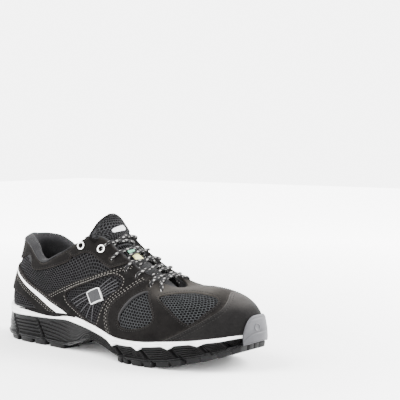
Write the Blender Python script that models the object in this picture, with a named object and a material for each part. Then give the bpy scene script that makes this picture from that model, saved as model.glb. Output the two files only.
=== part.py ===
"""Low safety sneaker for the right foot, built as the separate pieces of a real shoe.

+X points to the toe, +Y to the inner side of the foot and +Z up, in metres. The tables
hold shares of the named sizes, so a changed size carries through every piece.
"""
import math
from collections import namedtuple

import bmesh
import bpy
import numpy as np
from mathutils import Matrix, Vector

# Driving sizes
SOLE_LENGTH = 0.305
BALL_WIDTH = 0.111
SOLE_HEIGHT = 0.034         # floor to the feather line beside the heel
COLLAR_HEIGHT = 0.1075      # floor to the top of the padded collar at the heel
INSTEP_HEIGHT = 0.109       # floor to the top of the eyestay
TOE_HEIGHT = 0.0665         # floor to the top of the toe box
TOE_SPRING = 0.022
ARCH_RISE = 0.012

# Thicknesses and clearances
CLEARANCE = 0.0003
UPPER_WALL = 0.0024
FOOT_SEAT = 0.0008          # least height of the upper's foot above the feather line
OVERLAY_THICKNESS = 0.0013
FEATHER_INSET = 0.003       # sole edge to the upper's foot
HEEL_FLARE = 0.005          # how far the heel's foot stands out behind its top
HEEL_FLARE_LENGTH = 0.050
TOE_ROOM_START = 0.930      # shares of the length between which the layers step back
TOE_ROOM_END = 0.968        # behind the rubber toe bumper
CARRIER_INSET = 0.0008      # sole edge to the dark carrier under the white layer
RIB_DEPTH = 0.0010
RIB_COUNT = 3
BUMPER_THICKNESS = 0.0026
BUMPER_HEIGHT = 0.049       # floor to the top of the rubber toe bumper
TOE_ROOM = BUMPER_THICKNESS + CLEARANCE
INSOLE_THICKNESS = 0.004
INSOLE_PLAY = 0.0021        # between the insole and the upper's wall
TONGUE_THICKNESS = 0.005
TONGUE_ARCH_RADIUS = 0.027
COLLAR_PAD = 0.005
LACE_DIAMETER = 0.0036
EYELET_RADIUS = 0.0033      # middle of the ring
EYELET_WIRE = 0.0012

BUMPER_ROWS = 1.10          # rows of the plan each side of the toe tip that the bumper covers
BUMPER_STEPS = 14
TREAD_DEPTH = 0.0045
TREAD_WIDTH = 0.0045
CHANNEL_DEPTH = 0.0040
RECESS_DEPTH = 0.0052
TREAD_GROOVES = (0.085, 0.185, 0.290, 0.655, 0.745, 0.835, 0.915)   # shares of the length
TREAD_CHANNELS = (0.30, 0.70)                                       # shares of the width
CHANNEL_START, CHANNEL_END, CHANNEL_STEPS = 0.60, 0.955, 8
HEEL_RECESS = ((0.105, 0.00), (0.120, 0.07), (0.180, 0.105), (0.260, 0.09), (0.340, 0.05), (0.400, 0.00))
SIDE_GROOVES = (0.115, 0.245, 0.615, 0.712, 0.810, 0.893)           # shares of the length
GROOVE_WIDTH, GROOVE_DEPTH, GROOVE_SLANT = 0.0028, 0.0022, -0.60

SIDE_STEPS = 32             # sections of the sole from heel to toe
FLAT_ENDS = (0.065, 0.345, 0.630, 0.700)    # ends of the flat heel and ball, shares of the length
COLUMN_STEPS = 2            # columns of the upper between two rows of its table
UPPER_STEPS = 7             # faces of the upper from foot to edge

# Plan of the sole: share of length, then half widths as shares of the ball width
PlanRow = namedtuple("PlanRow", "along lateral medial")
PLAN = (
    PlanRow(0.016, 0.162, 0.162),
    PlanRow(0.049, 0.261, 0.261),
    PlanRow(0.098, 0.326, 0.324),
    PlanRow(0.180, 0.356, 0.338),
    PlanRow(0.295, 0.369, 0.311),
    PlanRow(0.426, 0.401, 0.324),
    PlanRow(0.541, 0.459, 0.396),
    PlanRow(0.639, 0.500, 0.450),
    PlanRow(0.721, 0.500, 0.459),
    PlanRow(0.803, 0.459, 0.432),
    PlanRow(0.869, 0.387, 0.378),
    PlanRow(0.934, 0.290, 0.290),
    PlanRow(0.977, 0.160, 0.182),
)
TOE_OFFSET = 0.015          # toe tip towards the inner side, share of the ball width

# Side of the sole: underside as shares of arch rise and toe spring, and layer heights
# above it as shares of the sole height
SideRow = namedtuple("SideRow", "along arch spring outsole stripe feather")
SIDE = (
    SideRow(0.000, 0.42, 0.00, 0.240, 0.860, 1.130),
    SideRow(0.026, 0.08, 0.00, 0.250, 0.820, 1.075),
    SideRow(0.059, 0.00, 0.00, 0.250, 0.785, 1.030),
    SideRow(0.131, 0.00, 0.00, 0.240, 0.790, 1.000),
    SideRow(0.290, 0.00, 0.00, 0.220, 0.820, 0.985),
    SideRow(0.354, 0.00, 0.00, 0.210, 0.850, 1.010),
    SideRow(0.405, 0.40, 0.00, 0.320, 0.800, 0.975),
    SideRow(0.469, 1.00, 0.00, 0.480, 0.720, 0.890),
    SideRow(0.530, 0.72, 0.00, 0.400, 0.620, 0.785),
    SideRow(0.580, 0.26, 0.00, 0.280, 0.510, 0.675),
    SideRow(0.625, 0.00, 0.00, 0.210, 0.490, 0.645),
    SideRow(0.705, 0.00, 0.00, 0.210, 0.530, 0.665),
    SideRow(0.770, 0.00, 0.08, 0.260, 0.600, 0.730),
    SideRow(0.850, 0.00, 0.30, 0.390, 0.700, 0.800),
    SideRow(0.920, 0.00, 0.56, 0.550, 0.790, 0.885),
    SideRow(0.970, 0.00, 0.80, 0.700, 0.860, 0.945),
    SideRow(1.000, 0.00, 1.00, 0.800, 0.890, 0.970),
)

# Sections of the upper from the heel's back to the toe tip. foot and edge are shares of
# the sole's length, out and inner (lateral and medial edge) of half the ball width, up of
# the size that height names
UpperRow = namedtuple("UpperRow", "foot edge out inner height up rise_out rise_up fall_out fall_down")
UPPER = (
    UpperRow(0.000, 0.067, 0.000, 0.000, "collar", 0.907, 0.020, 0.185, 0.055, 0.205),
    UpperRow(0.040, 0.088, 0.252, 0.252, "collar", 0.905, 0.025, 0.180, 0.070, 0.205),
    UpperRow(0.112, 0.136, 0.414, 0.414, "collar", 0.887, 0.035, 0.175, 0.085, 0.200),
    UpperRow(0.168, 0.177, 0.505, 0.505, "collar", 0.823, 0.040, 0.165, 0.080, 0.165),
    UpperRow(0.228, 0.220, 0.558, 0.558, "collar", 0.740, 0.040, 0.150, 0.075, 0.130),
    UpperRow(0.300, 0.276, 0.558, 0.558, "collar", 0.790, 0.040, 0.155, 0.090, 0.165),
    UpperRow(0.366, 0.336, 0.522, 0.522, "collar", 0.879, 0.040, 0.165, 0.110, 0.215),
    UpperRow(0.420, 0.387, 0.468, 0.430, "collar", 0.967, 0.040, 0.175, 0.125, 0.250),
    UpperRow(0.460, 0.422, 0.405, 0.310, "instep", 0.995, 0.040, 0.180, 0.160, 0.230),
    UpperRow(0.500, 0.462, 0.360, 0.270, "instep", 0.972, 0.040, 0.180, 0.180, 0.200),
    UpperRow(0.545, 0.497, 0.333, 0.265, "instep", 0.904, 0.040, 0.175, 0.200, 0.160),
    UpperRow(0.600, 0.544, 0.324, 0.275, "instep", 0.816, 0.040, 0.165, 0.230, 0.110),
    UpperRow(0.660, 0.597, 0.315, 0.315, "instep", 0.725, 0.045, 0.160, 0.280, 0.070),
    UpperRow(0.730, 0.652, 0.288, 0.288, "toe", 1.075, 0.050, 0.270, 0.360, 0.070),
    UpperRow(0.810, 0.692, 0.234, 0.234, "toe", 1.007, 0.060, 0.290, 0.500, 0.020),
    UpperRow(0.895, 0.711, 0.150, 0.150, "toe", 0.977, 0.055, 0.310, 0.740, -0.060),
    UpperRow(0.965, 0.718, 0.075, 0.075, "toe", 0.970, 0.055, 0.335, 0.930, -0.105),
    UpperRow(1.000, 0.720, 0.000, 0.000, "toe", 0.967, 0.055, 0.350, 1.120, -0.135),
)
HEIGHTS = {"collar": COLLAR_HEIGHT, "instep": INSTEP_HEIGHT, "toe": TOE_HEIGHT}

# Panel outlines seen from the side: shares of the sole's length and of the collar height
TOE_LINE = ((0.889, 0.78), (0.893, 0.600), (0.917, 0.530), (0.916, 0.490), (0.887, 0.425),
            (0.851, 0.354), (0.813, 0.290), (0.770, 0.225), (0.755, 0.10))
VAMP_FOOT = ((0.60, 0.10),)
RING_LINE = ((0.586, 0.210), (0.567, 0.268), (0.555, 0.345), (0.554, 0.413), (0.564, 0.485),
             (0.594, 0.558), (0.628, 0.645))
RING_WINDOW = ((0.667, 0.600), (0.637, 0.548), (0.615, 0.475), (0.601, 0.393), (0.609, 0.317),
               (0.634, 0.294), (0.677, 0.304), (0.719, 0.343), (0.730, 0.389), (0.716, 0.460),
               (0.688, 0.540))
VAMP_WINDOW = ((0.716, 0.560), (0.755, 0.587), (0.797, 0.600), (0.851, 0.591), (0.890, 0.560),
               (0.893, 0.527), (0.879, 0.458), (0.849, 0.385), (0.826, 0.401), (0.782, 0.466),
               (0.750, 0.507))
SADDLE_LINE = ((0.262, 0.470), (0.318, 0.534), (0.378, 0.605), (0.435, 0.659),
               (0.486, 0.709), (0.528, 0.745), (0.568, 0.775), (0.628, 0.78))
QUARTER_FOOT = ((0.580, 0.10), (0.380, 0.10))
QUARTER_WINDOW = ((0.350, 0.502), (0.366, 0.529), (0.405, 0.578), (0.451, 0.623), (0.491, 0.672),
                  (0.521, 0.692), (0.548, 0.686), (0.570, 0.655), (0.567, 0.600), (0.545, 0.540),
                  (0.528, 0.467), (0.518, 0.395), (0.506, 0.300), (0.490, 0.280), (0.457, 0.302),
                  (0.411, 0.367), (0.362, 0.440))
COUNTER_LINE = ((-0.02, 0.720), (0.087, 0.677), (0.134, 0.627), (0.187, 0.550), (0.247, 0.483),
                (0.302, 0.422), (0.371, 0.337))
COUNTER_FOOT = ((0.371, 0.10), (0.230, 0.10), (0.222, 0.310), (0.180, 0.390), (0.137, 0.440),
                (0.070, 0.468), (-0.02, 0.480))
EYESTAY = ((0.341, 0.865), (0.361, 0.818), (0.389, 0.854), (0.410, 0.866), (0.433, 0.855),
           (0.458, 0.820), (0.509, 0.751), (0.545, 0.775), (0.590, 0.80), (0.55, 1.10), (0.34, 1.10))
COLLAR_BAND = ((-0.02, 1.10), (-0.02, 0.745), (0.066, 0.740), (0.102, 0.752), (0.152, 0.800),
               (0.170, 0.775), (0.172, 0.716), (0.187, 0.675), (0.213, 0.672), (0.264, 0.705),
               (0.324, 0.757), (0.353, 0.816), (0.336, 0.860), (0.332, 1.10))

# Eyelets from the top: shares of the sole's length and of the instep height, by side
Eyelet = namedtuple("Eyelet", "lateral lateral_up medial medial_up")
EYELETS = (
    Eyelet(0.387, 0.908, 0.387, 0.900),
    Eyelet(0.462, 0.888, 0.456, 0.875),
    Eyelet(0.505, 0.806, 0.508, 0.840),
    Eyelet(0.563, 0.722, 0.555, 0.752),
    Eyelet(0.603, 0.679, 0.592, 0.705),
    Eyelet(0.663, 0.615, 0.638, 0.658),
    Eyelet(0.706, 0.590, 0.680, 0.622),
)
LACE_STEPS = 6
LACE_LIFT = 0.0014          # laces stand this far off the eyestay
LACE_ARCH, LACE_ARCH_FORWARD = 0.0050, 0.002

# Padded collar by row of the upper, counted from the heel
COLLAR_END_ROW = 6.5

# Tongue from its foot to its top: shares of sole length, instep height and half ball width,
# and its arch as a multiple of the radius named above
TongueRow = namedtuple("TongueRow", "along up half arch")
TONGUE = (
    TongueRow(0.748, 0.541, 0.33, 1.0),
    TongueRow(0.702, 0.569, 0.34, 1.0),
    TongueRow(0.662, 0.620, 0.35, 1.0),
    TongueRow(0.623, 0.690, 0.36, 1.0),
    TongueRow(0.564, 0.790, 0.35, 1.0),
    TongueRow(0.515, 0.882, 0.30, 1.0),
    TongueRow(0.479, 0.970, 0.265, 1.0),
    TongueRow(0.455, 1.052, 0.34, 1.6),
    TongueRow(0.440, 1.110, 0.42, 1.8),
    TongueRow(0.432, 1.150, 0.30, 1.8),
    TongueRow(0.428, 1.172, 0.12, 1.8),
)
TONGUE_STEPS, TONGUE_COLUMNS = 16, 8
TONGUE_SHIFT = -0.0025      # towards the lateral side, like the throat

RUBBER = ((0.155, 0.155, 0.165), 0.55, 0.0)
CARRIER = ((0.045, 0.044, 0.048), 0.60, 0.0)
WHITE = ((0.85, 0.85, 0.84), 0.45, 0.0)
NUBUCK = ((0.030, 0.027, 0.026), 0.85, 0.0)
BROWN = ((0.045, 0.036, 0.031), 0.85, 0.0)
MESH = ((0.022, 0.022, 0.024), 0.90, 0.0)
LINING = ((0.075, 0.075, 0.080), 0.95, 0.0)
LACE = ((0.060, 0.060, 0.062), 0.90, 0.0)
RING = ((0.80, 0.80, 0.80), 0.35, 0.0)


def fair_curve(knots, values):
    """Monotone cubic through the values, which never swings past a flat stretch."""
    knots, values = np.array(knots), np.array(values)
    step = np.diff(knots)
    rise = np.diff(values) / step
    slope = np.zeros(len(values))
    slope[0], slope[-1] = rise[0], rise[-1]
    for i in range(1, len(values) - 1):
        if rise[i - 1] * rise[i] > 0:
            slope[i] = 2 * rise[i - 1] * rise[i] / (rise[i - 1] + rise[i])

    def at(where):
        i = int(np.clip(np.searchsorted(knots, where) - 1, 0, len(step) - 1))
        t = (where - knots[i]) / step[i]
        start = (1 + 2 * t) * (1 - t) ** 2 * values[i] + t * (1 - t) ** 2 * step[i] * slope[i]
        end = t * t * (3 - 2 * t) * values[i + 1] + t * t * (t - 1) * step[i] * slope[i + 1]
        return float(start + end)

    return at


class ClosedCurve:
    """Periodic cubic spline through points, spaced by the length of its first columns."""

    def __init__(self, points, measured):
        self.points = np.array(points, float)
        ahead = np.roll(self.points, -1, axis=0)
        gap = np.linalg.norm((ahead - self.points)[:, :measured], axis=1)
        count = len(gap)
        matrix = np.zeros((count, count))
        target = np.zeros(self.points.shape)
        for i in range(count):
            before, after = gap[i - 1], gap[i]
            matrix[i, i - 1] = after
            matrix[i, i] = 2 * (before + after)
            matrix[i, (i + 1) % count] = before
            back = after / before * (self.points[i] - self.points[i - 1])
            target[i] = 3 * (back + before / after * (ahead[i] - self.points[i]))
        self.tangents = np.linalg.solve(matrix, target)
        self.gap = gap
        self.count = count

    def at_row(self, row):
        """Point at a row number, whole or between two rows."""
        i = int(math.floor(row)) % self.count
        t = row - math.floor(row)
        j = (i + 1) % self.count
        start = (1 + 2 * t) * (1 - t) ** 2 * self.points[i] + t * (1 - t) ** 2 * self.gap[i] * self.tangents[i]
        end = t * t * (3 - 2 * t) * self.points[j] + t * t * (t - 1) * self.gap[i] * self.tangents[j]
        return start + end


ROLL_HEIGHT = fair_curve((0, 2, 3.4, 5, 7), (0.0065, 0.0060, 0.0042, 0.0028, 0.0010))
ROLL_WIDTH = fair_curve((0, 2, 3.4, 5, 7), (0.0095, 0.0095, 0.0085, 0.0070, 0.0045))


def side_curve(column):
    """Height of one layer of the sole along the shoe."""
    return fair_curve([row.along for row in SIDE], [getattr(row, column) for row in SIDE])


ARCH_CURVE, SPRING_CURVE = side_curve("arch"), side_curve("spring")
LAYER_CURVES = {name: side_curve(name) for name in ("outsole", "stripe", "feather")}


def ground_height(x):
    """Underside of the sole at x: heel bevel, flat heel, arch, flat ball and toe spring."""
    along = np.clip(x / SOLE_LENGTH, 0, 1)
    return ARCH_RISE * ARCH_CURVE(along) + TOE_SPRING * SPRING_CURVE(along)


def layer_height(name, x):
    """Top of the outsole, foot of the white layer, or the feather line at x."""
    return SOLE_HEIGHT * LAYER_CURVES[name](np.clip(x / SOLE_LENGTH, 0, 1))


def plan_curve():
    """The sole's edge seen from above: heel, lateral side, toe, medial side."""
    lateral = [(row.along * SOLE_LENGTH, -row.lateral * BALL_WIDTH) for row in PLAN]
    medial = [(row.along * SOLE_LENGTH, row.medial * BALL_WIDTH) for row in PLAN]
    toe = [(SOLE_LENGTH, TOE_OFFSET * BALL_WIDTH)]
    return ClosedCurve([(0.0, 0.0)] + lateral + toe + medial[::-1], 2)


PLAN_CURVE = plan_curve()
HALF_ROWS = len(PLAN) + 1


def heel_weight(x):
    """1 at the back of the heel, fading to 0 where the sole's side stands upright."""
    return max(0.0, 1.0 - x / HEEL_FLARE_LENGTH) ** 2


def toe_weight(x):
    """0 behind the toe bumper, 1 where the layers stand behind it."""
    share = (x / SOLE_LENGTH - TOE_ROOM_START) / (TOE_ROOM_END - TOE_ROOM_START)
    share = min(max(share, 0.0), 1.0)
    return share * share * (3 - 2 * share)


def plan_samples(side, inset, flare, room, count=160):
    """Points from heel to toe along one side, moved inwards: flare at the heel, room at the toe."""
    rows = np.linspace(0, HALF_ROWS, count + 1)
    if side == "medial":
        rows = 2 * HALF_ROWS - rows
    points = []
    for row in rows:
        here, ahead, behind = (PLAN_CURVE.at_row(row + d) for d in (0.0, 0.01, -0.01))
        tangent = (ahead - behind) / np.linalg.norm(ahead - behind)
        distance = inset + flare * heel_weight(here[0]) + room * toe_weight(here[0])
        points.append(here + distance * np.array([-tangent[1], tangent[0]]))
    return np.array(points)


def side_points(side, inset, flare, room, shares):
    """Points on one side of the inset plan at shares of its length from heel to toe."""
    points = plan_samples(side, inset, flare, room)
    first, last = points[0, 0], points[-1, 0]
    x = np.maximum.accumulate(points[:, 0])
    wanted = first + np.array(shares) * (last - first)
    number = np.interp(wanted, x, np.arange(len(x)))
    return np.column_stack([np.interp(number, np.arange(len(x)), points[:, k]) for k in (0, 1)])


def section_shares():
    """Shares from 0 to 1, closer together towards both ends, one at each end of a flat spot."""
    shares = (1 - np.cos(np.linspace(0, math.pi, SIDE_STEPS + 1))) / 2
    for end in FLAT_ENDS:
        shares[np.argmin(np.abs(shares - end))] = end
    return shares


def plan_loop(inset, flare, room):
    """Closed loop: heel, lateral side, toe, medial side, with paired cross points."""
    shares = section_shares()
    lateral = side_points("lateral", inset, flare, room, shares)
    medial = side_points("medial", inset, flare, room, shares)
    return np.vstack([lateral, medial[-2:0:-1]])


def make_collection(name, hidden=False):
    collection = bpy.data.collections.new(name)
    bpy.context.scene.collection.children.link(collection)
    collection.hide_render = hidden
    return collection


def make_object(name, mesh, collection, look=None):
    """Object in a collection, with its own material when it is a part."""
    thing = bpy.data.objects.new(name, mesh)
    collection.objects.link(thing)
    if look is None:
        thing.hide_render = True
        thing.display_type = "WIRE"
        return thing
    colour, roughness, metallic = look
    material = bpy.data.materials.new(name)
    material.use_nodes = True
    shader = material.node_tree.nodes["Principled BSDF"]
    shader.inputs["Base Color"].default_value = (*colour, 1.0)
    shader.inputs["Roughness"].default_value = roughness
    shader.inputs["Metallic"].default_value = metallic
    mesh.materials.clear()
    mesh.materials.append(material)
    return thing


def mesh_from(name, points, faces):
    """Closed mesh with its faces turned outwards."""
    mesh = bpy.data.meshes.new(name)
    mesh.from_pydata([tuple(p) for p in points], [], faces)
    shape = bmesh.new()
    shape.from_mesh(mesh)
    bmesh.ops.recalc_face_normals(shape, faces=shape.faces)
    shape.to_mesh(mesh)
    shape.free()
    return mesh


def loft_loops(name, loops, closed=False):
    """Mesh through equal loops; the ends are closed across the paired sides of a sole."""
    count = len(loops[0])
    points = np.vstack(loops)
    faces = []
    for level in range(len(loops) if closed else len(loops) - 1):
        low, high = level * count, (level + 1) % len(loops) * count
        for i in range(count):
            j = (i + 1) % count
            faces.append((low + i, low + j, high + j, high + i))
    if not closed:
        for base in (0, (len(loops) - 1) * count):
            faces += paired_cap(base, count)
    return mesh_from(name, points, faces)


def paired_cap(base, count):
    """Strip of triangles across a loop whose point i lies opposite point count - i."""
    faces = []
    for i in range(count // 2):
        near, far = (count - i) % count, count - i - 1
        faces.append((base + i, base + i + 1, base + (near if i else far)))
        if 0 < i < count // 2 - 1:
            faces.append((base + i + 1, base + far, base + near))
    return faces


def boolean(target, cutter, operation):
    """Cut, join or keep the common part, with the exact solver, and bake the result."""
    modifier = target.modifiers.new(operation.lower(), "BOOLEAN")
    modifier.operation = operation
    modifier.solver = "EXACT"
    modifier.object = cutter
    graph = bpy.context.evaluated_depsgraph_get()
    mesh = bpy.data.meshes.new_from_object(target.evaluated_get(graph))
    target.modifiers.clear()
    target.data = mesh
    bpy.data.objects.remove(cutter)
    shape = bmesh.new()
    shape.from_mesh(mesh)
    bmesh.ops.remove_doubles(shape, verts=shape.verts, dist=1e-6)
    bmesh.ops.dissolve_degenerate(shape, dist=1e-6, edges=shape.edges)
    shape.to_mesh(mesh)
    shape.free()


def sole_layer(name, levels, room, collection, look):
    """Layer of the sole through levels of (inset, heel flare, height function)."""
    loops = []
    for inset, flare, height in levels:
        loop = plan_loop(inset, flare, room)
        loops.append(np.column_stack([loop, [height(x) for x in loop[:, 0]]]))
    return make_object(name, loft_loops(name, loops), collection, look)


class Upper:
    """The shape of the last: a surface from the foot (share 0) to the edge (share 1)."""

    def __init__(self):
        rows = [self.section(row, "lateral") for row in UPPER]
        rows += [self.section(row, "medial") for row in UPPER[-2:0:-1]]
        self.curve = ClosedCurve(rows, 6)
        self.row_count = len(rows)

    @staticmethod
    def section(row, side):
        """Foot, edge and the two handles of one section, as a flat list."""
        sign = -1.0 if side == "lateral" else 1.0
        half = BALL_WIDTH / 2
        height = HEIGHTS[row.height]
        foot = side_points(side, FEATHER_INSET, HEEL_FLARE, TOE_ROOM, [row.foot])[0]
        low = np.array([*foot, layer_height("feather", foot[0]) + CLEARANCE])
        reach = row.out if side == "lateral" else row.inner
        high = np.array([row.edge * SOLE_LENGTH, sign * reach * half, row.up * height])
        outward = (low - high) * (1, 1, 0)
        outward /= np.linalg.norm(outward)
        rise = low + outward * row.rise_out * half + np.array([0, 0, row.rise_up * height])
        fall = high + outward * row.fall_out * half - np.array([0, 0, row.fall_down * height])
        return [*low, *high, *rise, *fall]

    def point(self, row, share):
        """Outer surface at a row number and a share of the way up."""
        values = self.curve.at_row(row)
        low, high, rise, fall = (values[k:k + 3] for k in (0, 3, 6, 9))
        back = 1 - share
        return (back ** 3 * low + 3 * back ** 2 * share * rise
                + 3 * back * share ** 2 * fall + share ** 3 * high)

    def normal(self, row, share):
        """Direction out of the shoe at a point of the surface."""
        small = 0.01
        along = self.point(row + small, share) - self.point(row - small, share)
        low, high = max(share - small, 0.0), min(share + small, 1.0)
        up = self.point(row, high) - self.point(row, low)
        out = np.cross(along, up)
        return out / np.linalg.norm(out)

    def offset(self, row, share, distance):
        return self.point(row, share) + self.normal(row, share) * distance

    def locate(self, x, z, side):
        """Row and share of the surface point of one side that has this x and z."""
        half = self.row_count // 2
        first, last = (0.0, float(half)) if side == "lateral" else (float(half), 2.0 * half)
        best = (0.0, 0.5)
        low_share, high_share = 0.0, 1.0
        for _ in range(6):
            rows = np.linspace(first, last, 17)
            shares = np.linspace(low_share, high_share, 9)
            found = [(np.hypot(*(self.point(r, s)[[0, 2]] - (x, z))), r, s) for r in rows for s in shares]
            best = min(found)[1:]
            spread, reach = (last - first) / 6, (high_share - low_share) / 4
            first, last = best[0] - spread, best[0] + spread
            low_share, high_share = max(best[1] - reach, 0.0), min(best[1] + reach, 1.0)
        return best


def shell_mesh(name, upper, inner, outer):
    """Closed ring wall between two offsets of the upper's surface, cut into triangles alike."""
    columns = upper.row_count * COLUMN_STEPS
    levels = UPPER_STEPS + 1
    points = []
    for distance in (outer, inner):
        for share in np.linspace(0, 1, levels):
            for column in range(columns):
                x, y, z = upper.offset(column / COLUMN_STEPS, share, distance)
                points.append((x, y, max(z, layer_height("feather", x) + FOOT_SEAT)))
    faces = []
    for skin in (0, 1):
        for level in range(levels - 1):
            low = (skin * levels + level) * columns
            high = low + columns
            for i in range(columns):
                j = (i + 1) % columns
                faces += [(low + i, low + j, high + j), (low + i, high + j, high + i)]
    for level in (0, levels - 1):
        first, second = level * columns, (levels + level) * columns
        for i in range(columns):
            j = (i + 1) % columns
            faces += [(first + i, first + j, second + j), (first + i, second + j, second + i)]
    return mesh_from(name, points, faces)


def build_sole(parts, cutters):
    """Outsole, dark carrier, white layer and insole."""
    ground = ground_height

    def outsole_top(x):
        return layer_height("outsole", x)

    def stripe_foot(x):
        return layer_height("stripe", x)

    def feather(x):
        return layer_height("feather", x)

    outsole = sole_layer("outsole", [(0.0035, -0.002, ground),
                                     (0.0012, 0.0, lambda x: ground(x) + 0.0030),
                                     (0.0004, 0.0, outsole_top)], 0.0, parts, RUBBER)
    boolean(outsole, toe_bumper(cutters), "UNION")
    cut_tread(outsole, cutters)
    seat = 1.5 * CLEARANCE
    levels = [(CARRIER_INSET, 0.0, lambda x: outsole_top(x) + seat)]
    for rib in range(RIB_COUNT):
        for part, inset in ((0.5, CARRIER_INSET + RIB_DEPTH), (1.0, CARRIER_INSET)):
            share = (rib + part) / RIB_COUNT
            levels.append((inset, HEEL_FLARE * share ** 2, lambda x, s=share: (
                (1 - s) * (outsole_top(x) + seat) + s * (stripe_foot(x) - seat))))
    carrier = sole_layer("midsole_carrier", levels, TOE_ROOM, parts, CARRIER)
    cut_side_grooves(carrier, cutters)
    sole_layer("midsole_stripe", [(0.0006, HEEL_FLARE, stripe_foot),
                                  (0.0, HEEL_FLARE, lambda x: stripe_foot(x) + 0.001),
                                  (0.0004, HEEL_FLARE, lambda x: feather(x) - 0.001),
                                  (0.0012, HEEL_FLARE, feather)], TOE_ROOM, parts, WHITE)
    edge = FEATHER_INSET + UPPER_WALL + INSOLE_PLAY
    sole_layer("insole", [(edge, HEEL_FLARE, lambda x: feather(x) + CLEARANCE),
                          (edge + INSOLE_PLAY, HEEL_FLARE, lambda x: feather(x) + INSOLE_THICKNESS)],
               TOE_ROOM, parts, LINING)


def toe_bumper(cutters):
    """Rubber wrap that climbs from the outsole over the toe, highest at the tip."""
    loops = []
    for row in np.linspace(HALF_ROWS - BUMPER_ROWS, HALF_ROWS + BUMPER_ROWS, BUMPER_STEPS + 1):
        here, ahead, behind = (PLAN_CURVE.at_row(row + d) for d in (0.0, 0.01, -0.01))
        inward = (ahead - behind) / np.linalg.norm(ahead - behind)
        inward = np.array([-inward[1], inward[0]])
        reach = abs(row - HALF_ROWS) / BUMPER_ROWS
        low = layer_height("outsole", here[0]) - 0.0015
        rim = layer_height("feather", here[0])
        top = rim + (BUMPER_HEIGHT - rim) * (1 - reach ** 3)
        lean = 0.0016 * (1 - reach ** 2)
        back = BUMPER_THICKNESS
        section = [(back, low), (0.0004, low), (0.0, (low + rim) / 2), (0.0004, rim),
                   (0.0010 + lean, top - 0.0010), (0.0019 + lean, top),
                   (back + lean, top - 0.0006), (back, (rim + low) / 2 + 0.001)]
        loops.append(np.array([[*(here + inset * inward), z] for inset, z in section]))
    mesh = loft_loops("bumper", loops)
    return make_object("bumper", mesh, cutters)


def box_cutter(cutters, centre, size, slant=0.0, turn=0.0):
    """Box tilted about Y by slant, then turned about Z."""
    shape = bmesh.new()
    bmesh.ops.create_cube(shape, size=1.0)
    for vertex in shape.verts:
        vertex.co = Vector([a * b for a, b in zip(vertex.co, size)])
    turned = Matrix.Translation(centre) @ Matrix.Rotation(turn, 4, "Z") @ Matrix.Rotation(slant, 4, "Y")
    bmesh.ops.transform(shape, matrix=turned, verts=shape.verts)
    mesh = bpy.data.meshes.new("cutter")
    shape.to_mesh(mesh)
    shape.free()
    return make_object("cutter", mesh, cutters)


def cut_tread(outsole, cutters):
    """Cross grooves, two long channels and the recess in the heel."""
    for along in TREAD_GROOVES:
        x = along * SOLE_LENGTH
        centre = Vector((x, 0, ground_height(x)))
        boolean(outsole, box_cutter(cutters, centre, (TREAD_WIDTH, BALL_WIDTH * 1.2, 2 * TREAD_DEPTH)),
                "DIFFERENCE")
    for across in TREAD_CHANNELS:
        loops = []
        for along in np.linspace(CHANNEL_START, CHANNEL_END, CHANNEL_STEPS + 1):
            x = along * SOLE_LENGTH
            lateral, medial = (side_points(side, 0.0, 0.0, 0.0, [along])[0] for side in ("lateral", "medial"))
            middle = lateral[1] + across * (medial[1] - lateral[1])
            low, high = ground_height(x) - CHANNEL_DEPTH, ground_height(x) + CHANNEL_DEPTH
            left, right = middle - TREAD_WIDTH / 2, middle + TREAD_WIDTH / 2
            loops.append(np.array([[x, left, low], [x, left, high], [x, right, high], [x, right, low]]))
        boolean(outsole, make_object("channel", loft_loops("channel", loops), cutters), "DIFFERENCE")
    outline = [(along * SOLE_LENGTH, sign * half * BALL_WIDTH)
               for sign, rows in ((-1, HEEL_RECESS), (1, HEEL_RECESS[-2:0:-1])) for along, half in rows]
    loops = [np.array([[x, y, z] for x, y in outline]) for z in (-RECESS_DEPTH, RECESS_DEPTH)]
    boolean(outsole, make_object("recess", loft_loops("recess", loops), cutters), "DIFFERENCE")


def cut_side_grooves(carrier, cutters):
    """Slanted grooves that divide the ribbed sides into blocks."""
    for groove in SIDE_GROOVES:
        for side, sign in (("lateral", -1), ("medial", 1)):
            x = groove * SOLE_LENGTH
            across = side_points(side, CARRIER_INSET, 0.0, TOE_ROOM, [groove - 0.01, groove, groove + 0.01])
            turn = math.atan2(across[2][1] - across[0][1], across[2][0] - across[0][0])
            middle = (layer_height("outsole", x) + layer_height("stripe", x)) / 2
            length = layer_height("stripe", x) - layer_height("outsole", x)
            centre = Vector((across[1][0], across[1][1], middle - 0.15 * length))
            size = (GROOVE_WIDTH, 2 * GROOVE_DEPTH, 1.25 * length)
            boolean(carrier, box_cutter(cutters, centre, size, GROOVE_SLANT, turn), "DIFFERENCE")


def offset_outline(points, distance):
    """Outline moved inwards all round, mitred at its corners."""
    points = np.array(points)
    area = sum(a[0] * b[1] - a[1] * b[0] for a, b in zip(points, np.roll(points, -1, axis=0)))
    result = []
    for before, here, after in zip(np.roll(points, 1, axis=0), points, np.roll(points, -1, axis=0)):
        first, second = here - before, after - here
        first, second = first / np.linalg.norm(first), second / np.linalg.norm(second)
        normal = np.array([-first[1] - second[1], first[0] + second[0]])
        normal /= max(np.linalg.norm(normal), 1e-6)
        stretch = 1 / max(np.dot(normal, (-first[1], first[0])), 0.5)
        result.append(here + normal * distance * stretch * (1 if area > 0 else -1))
    return result


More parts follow.
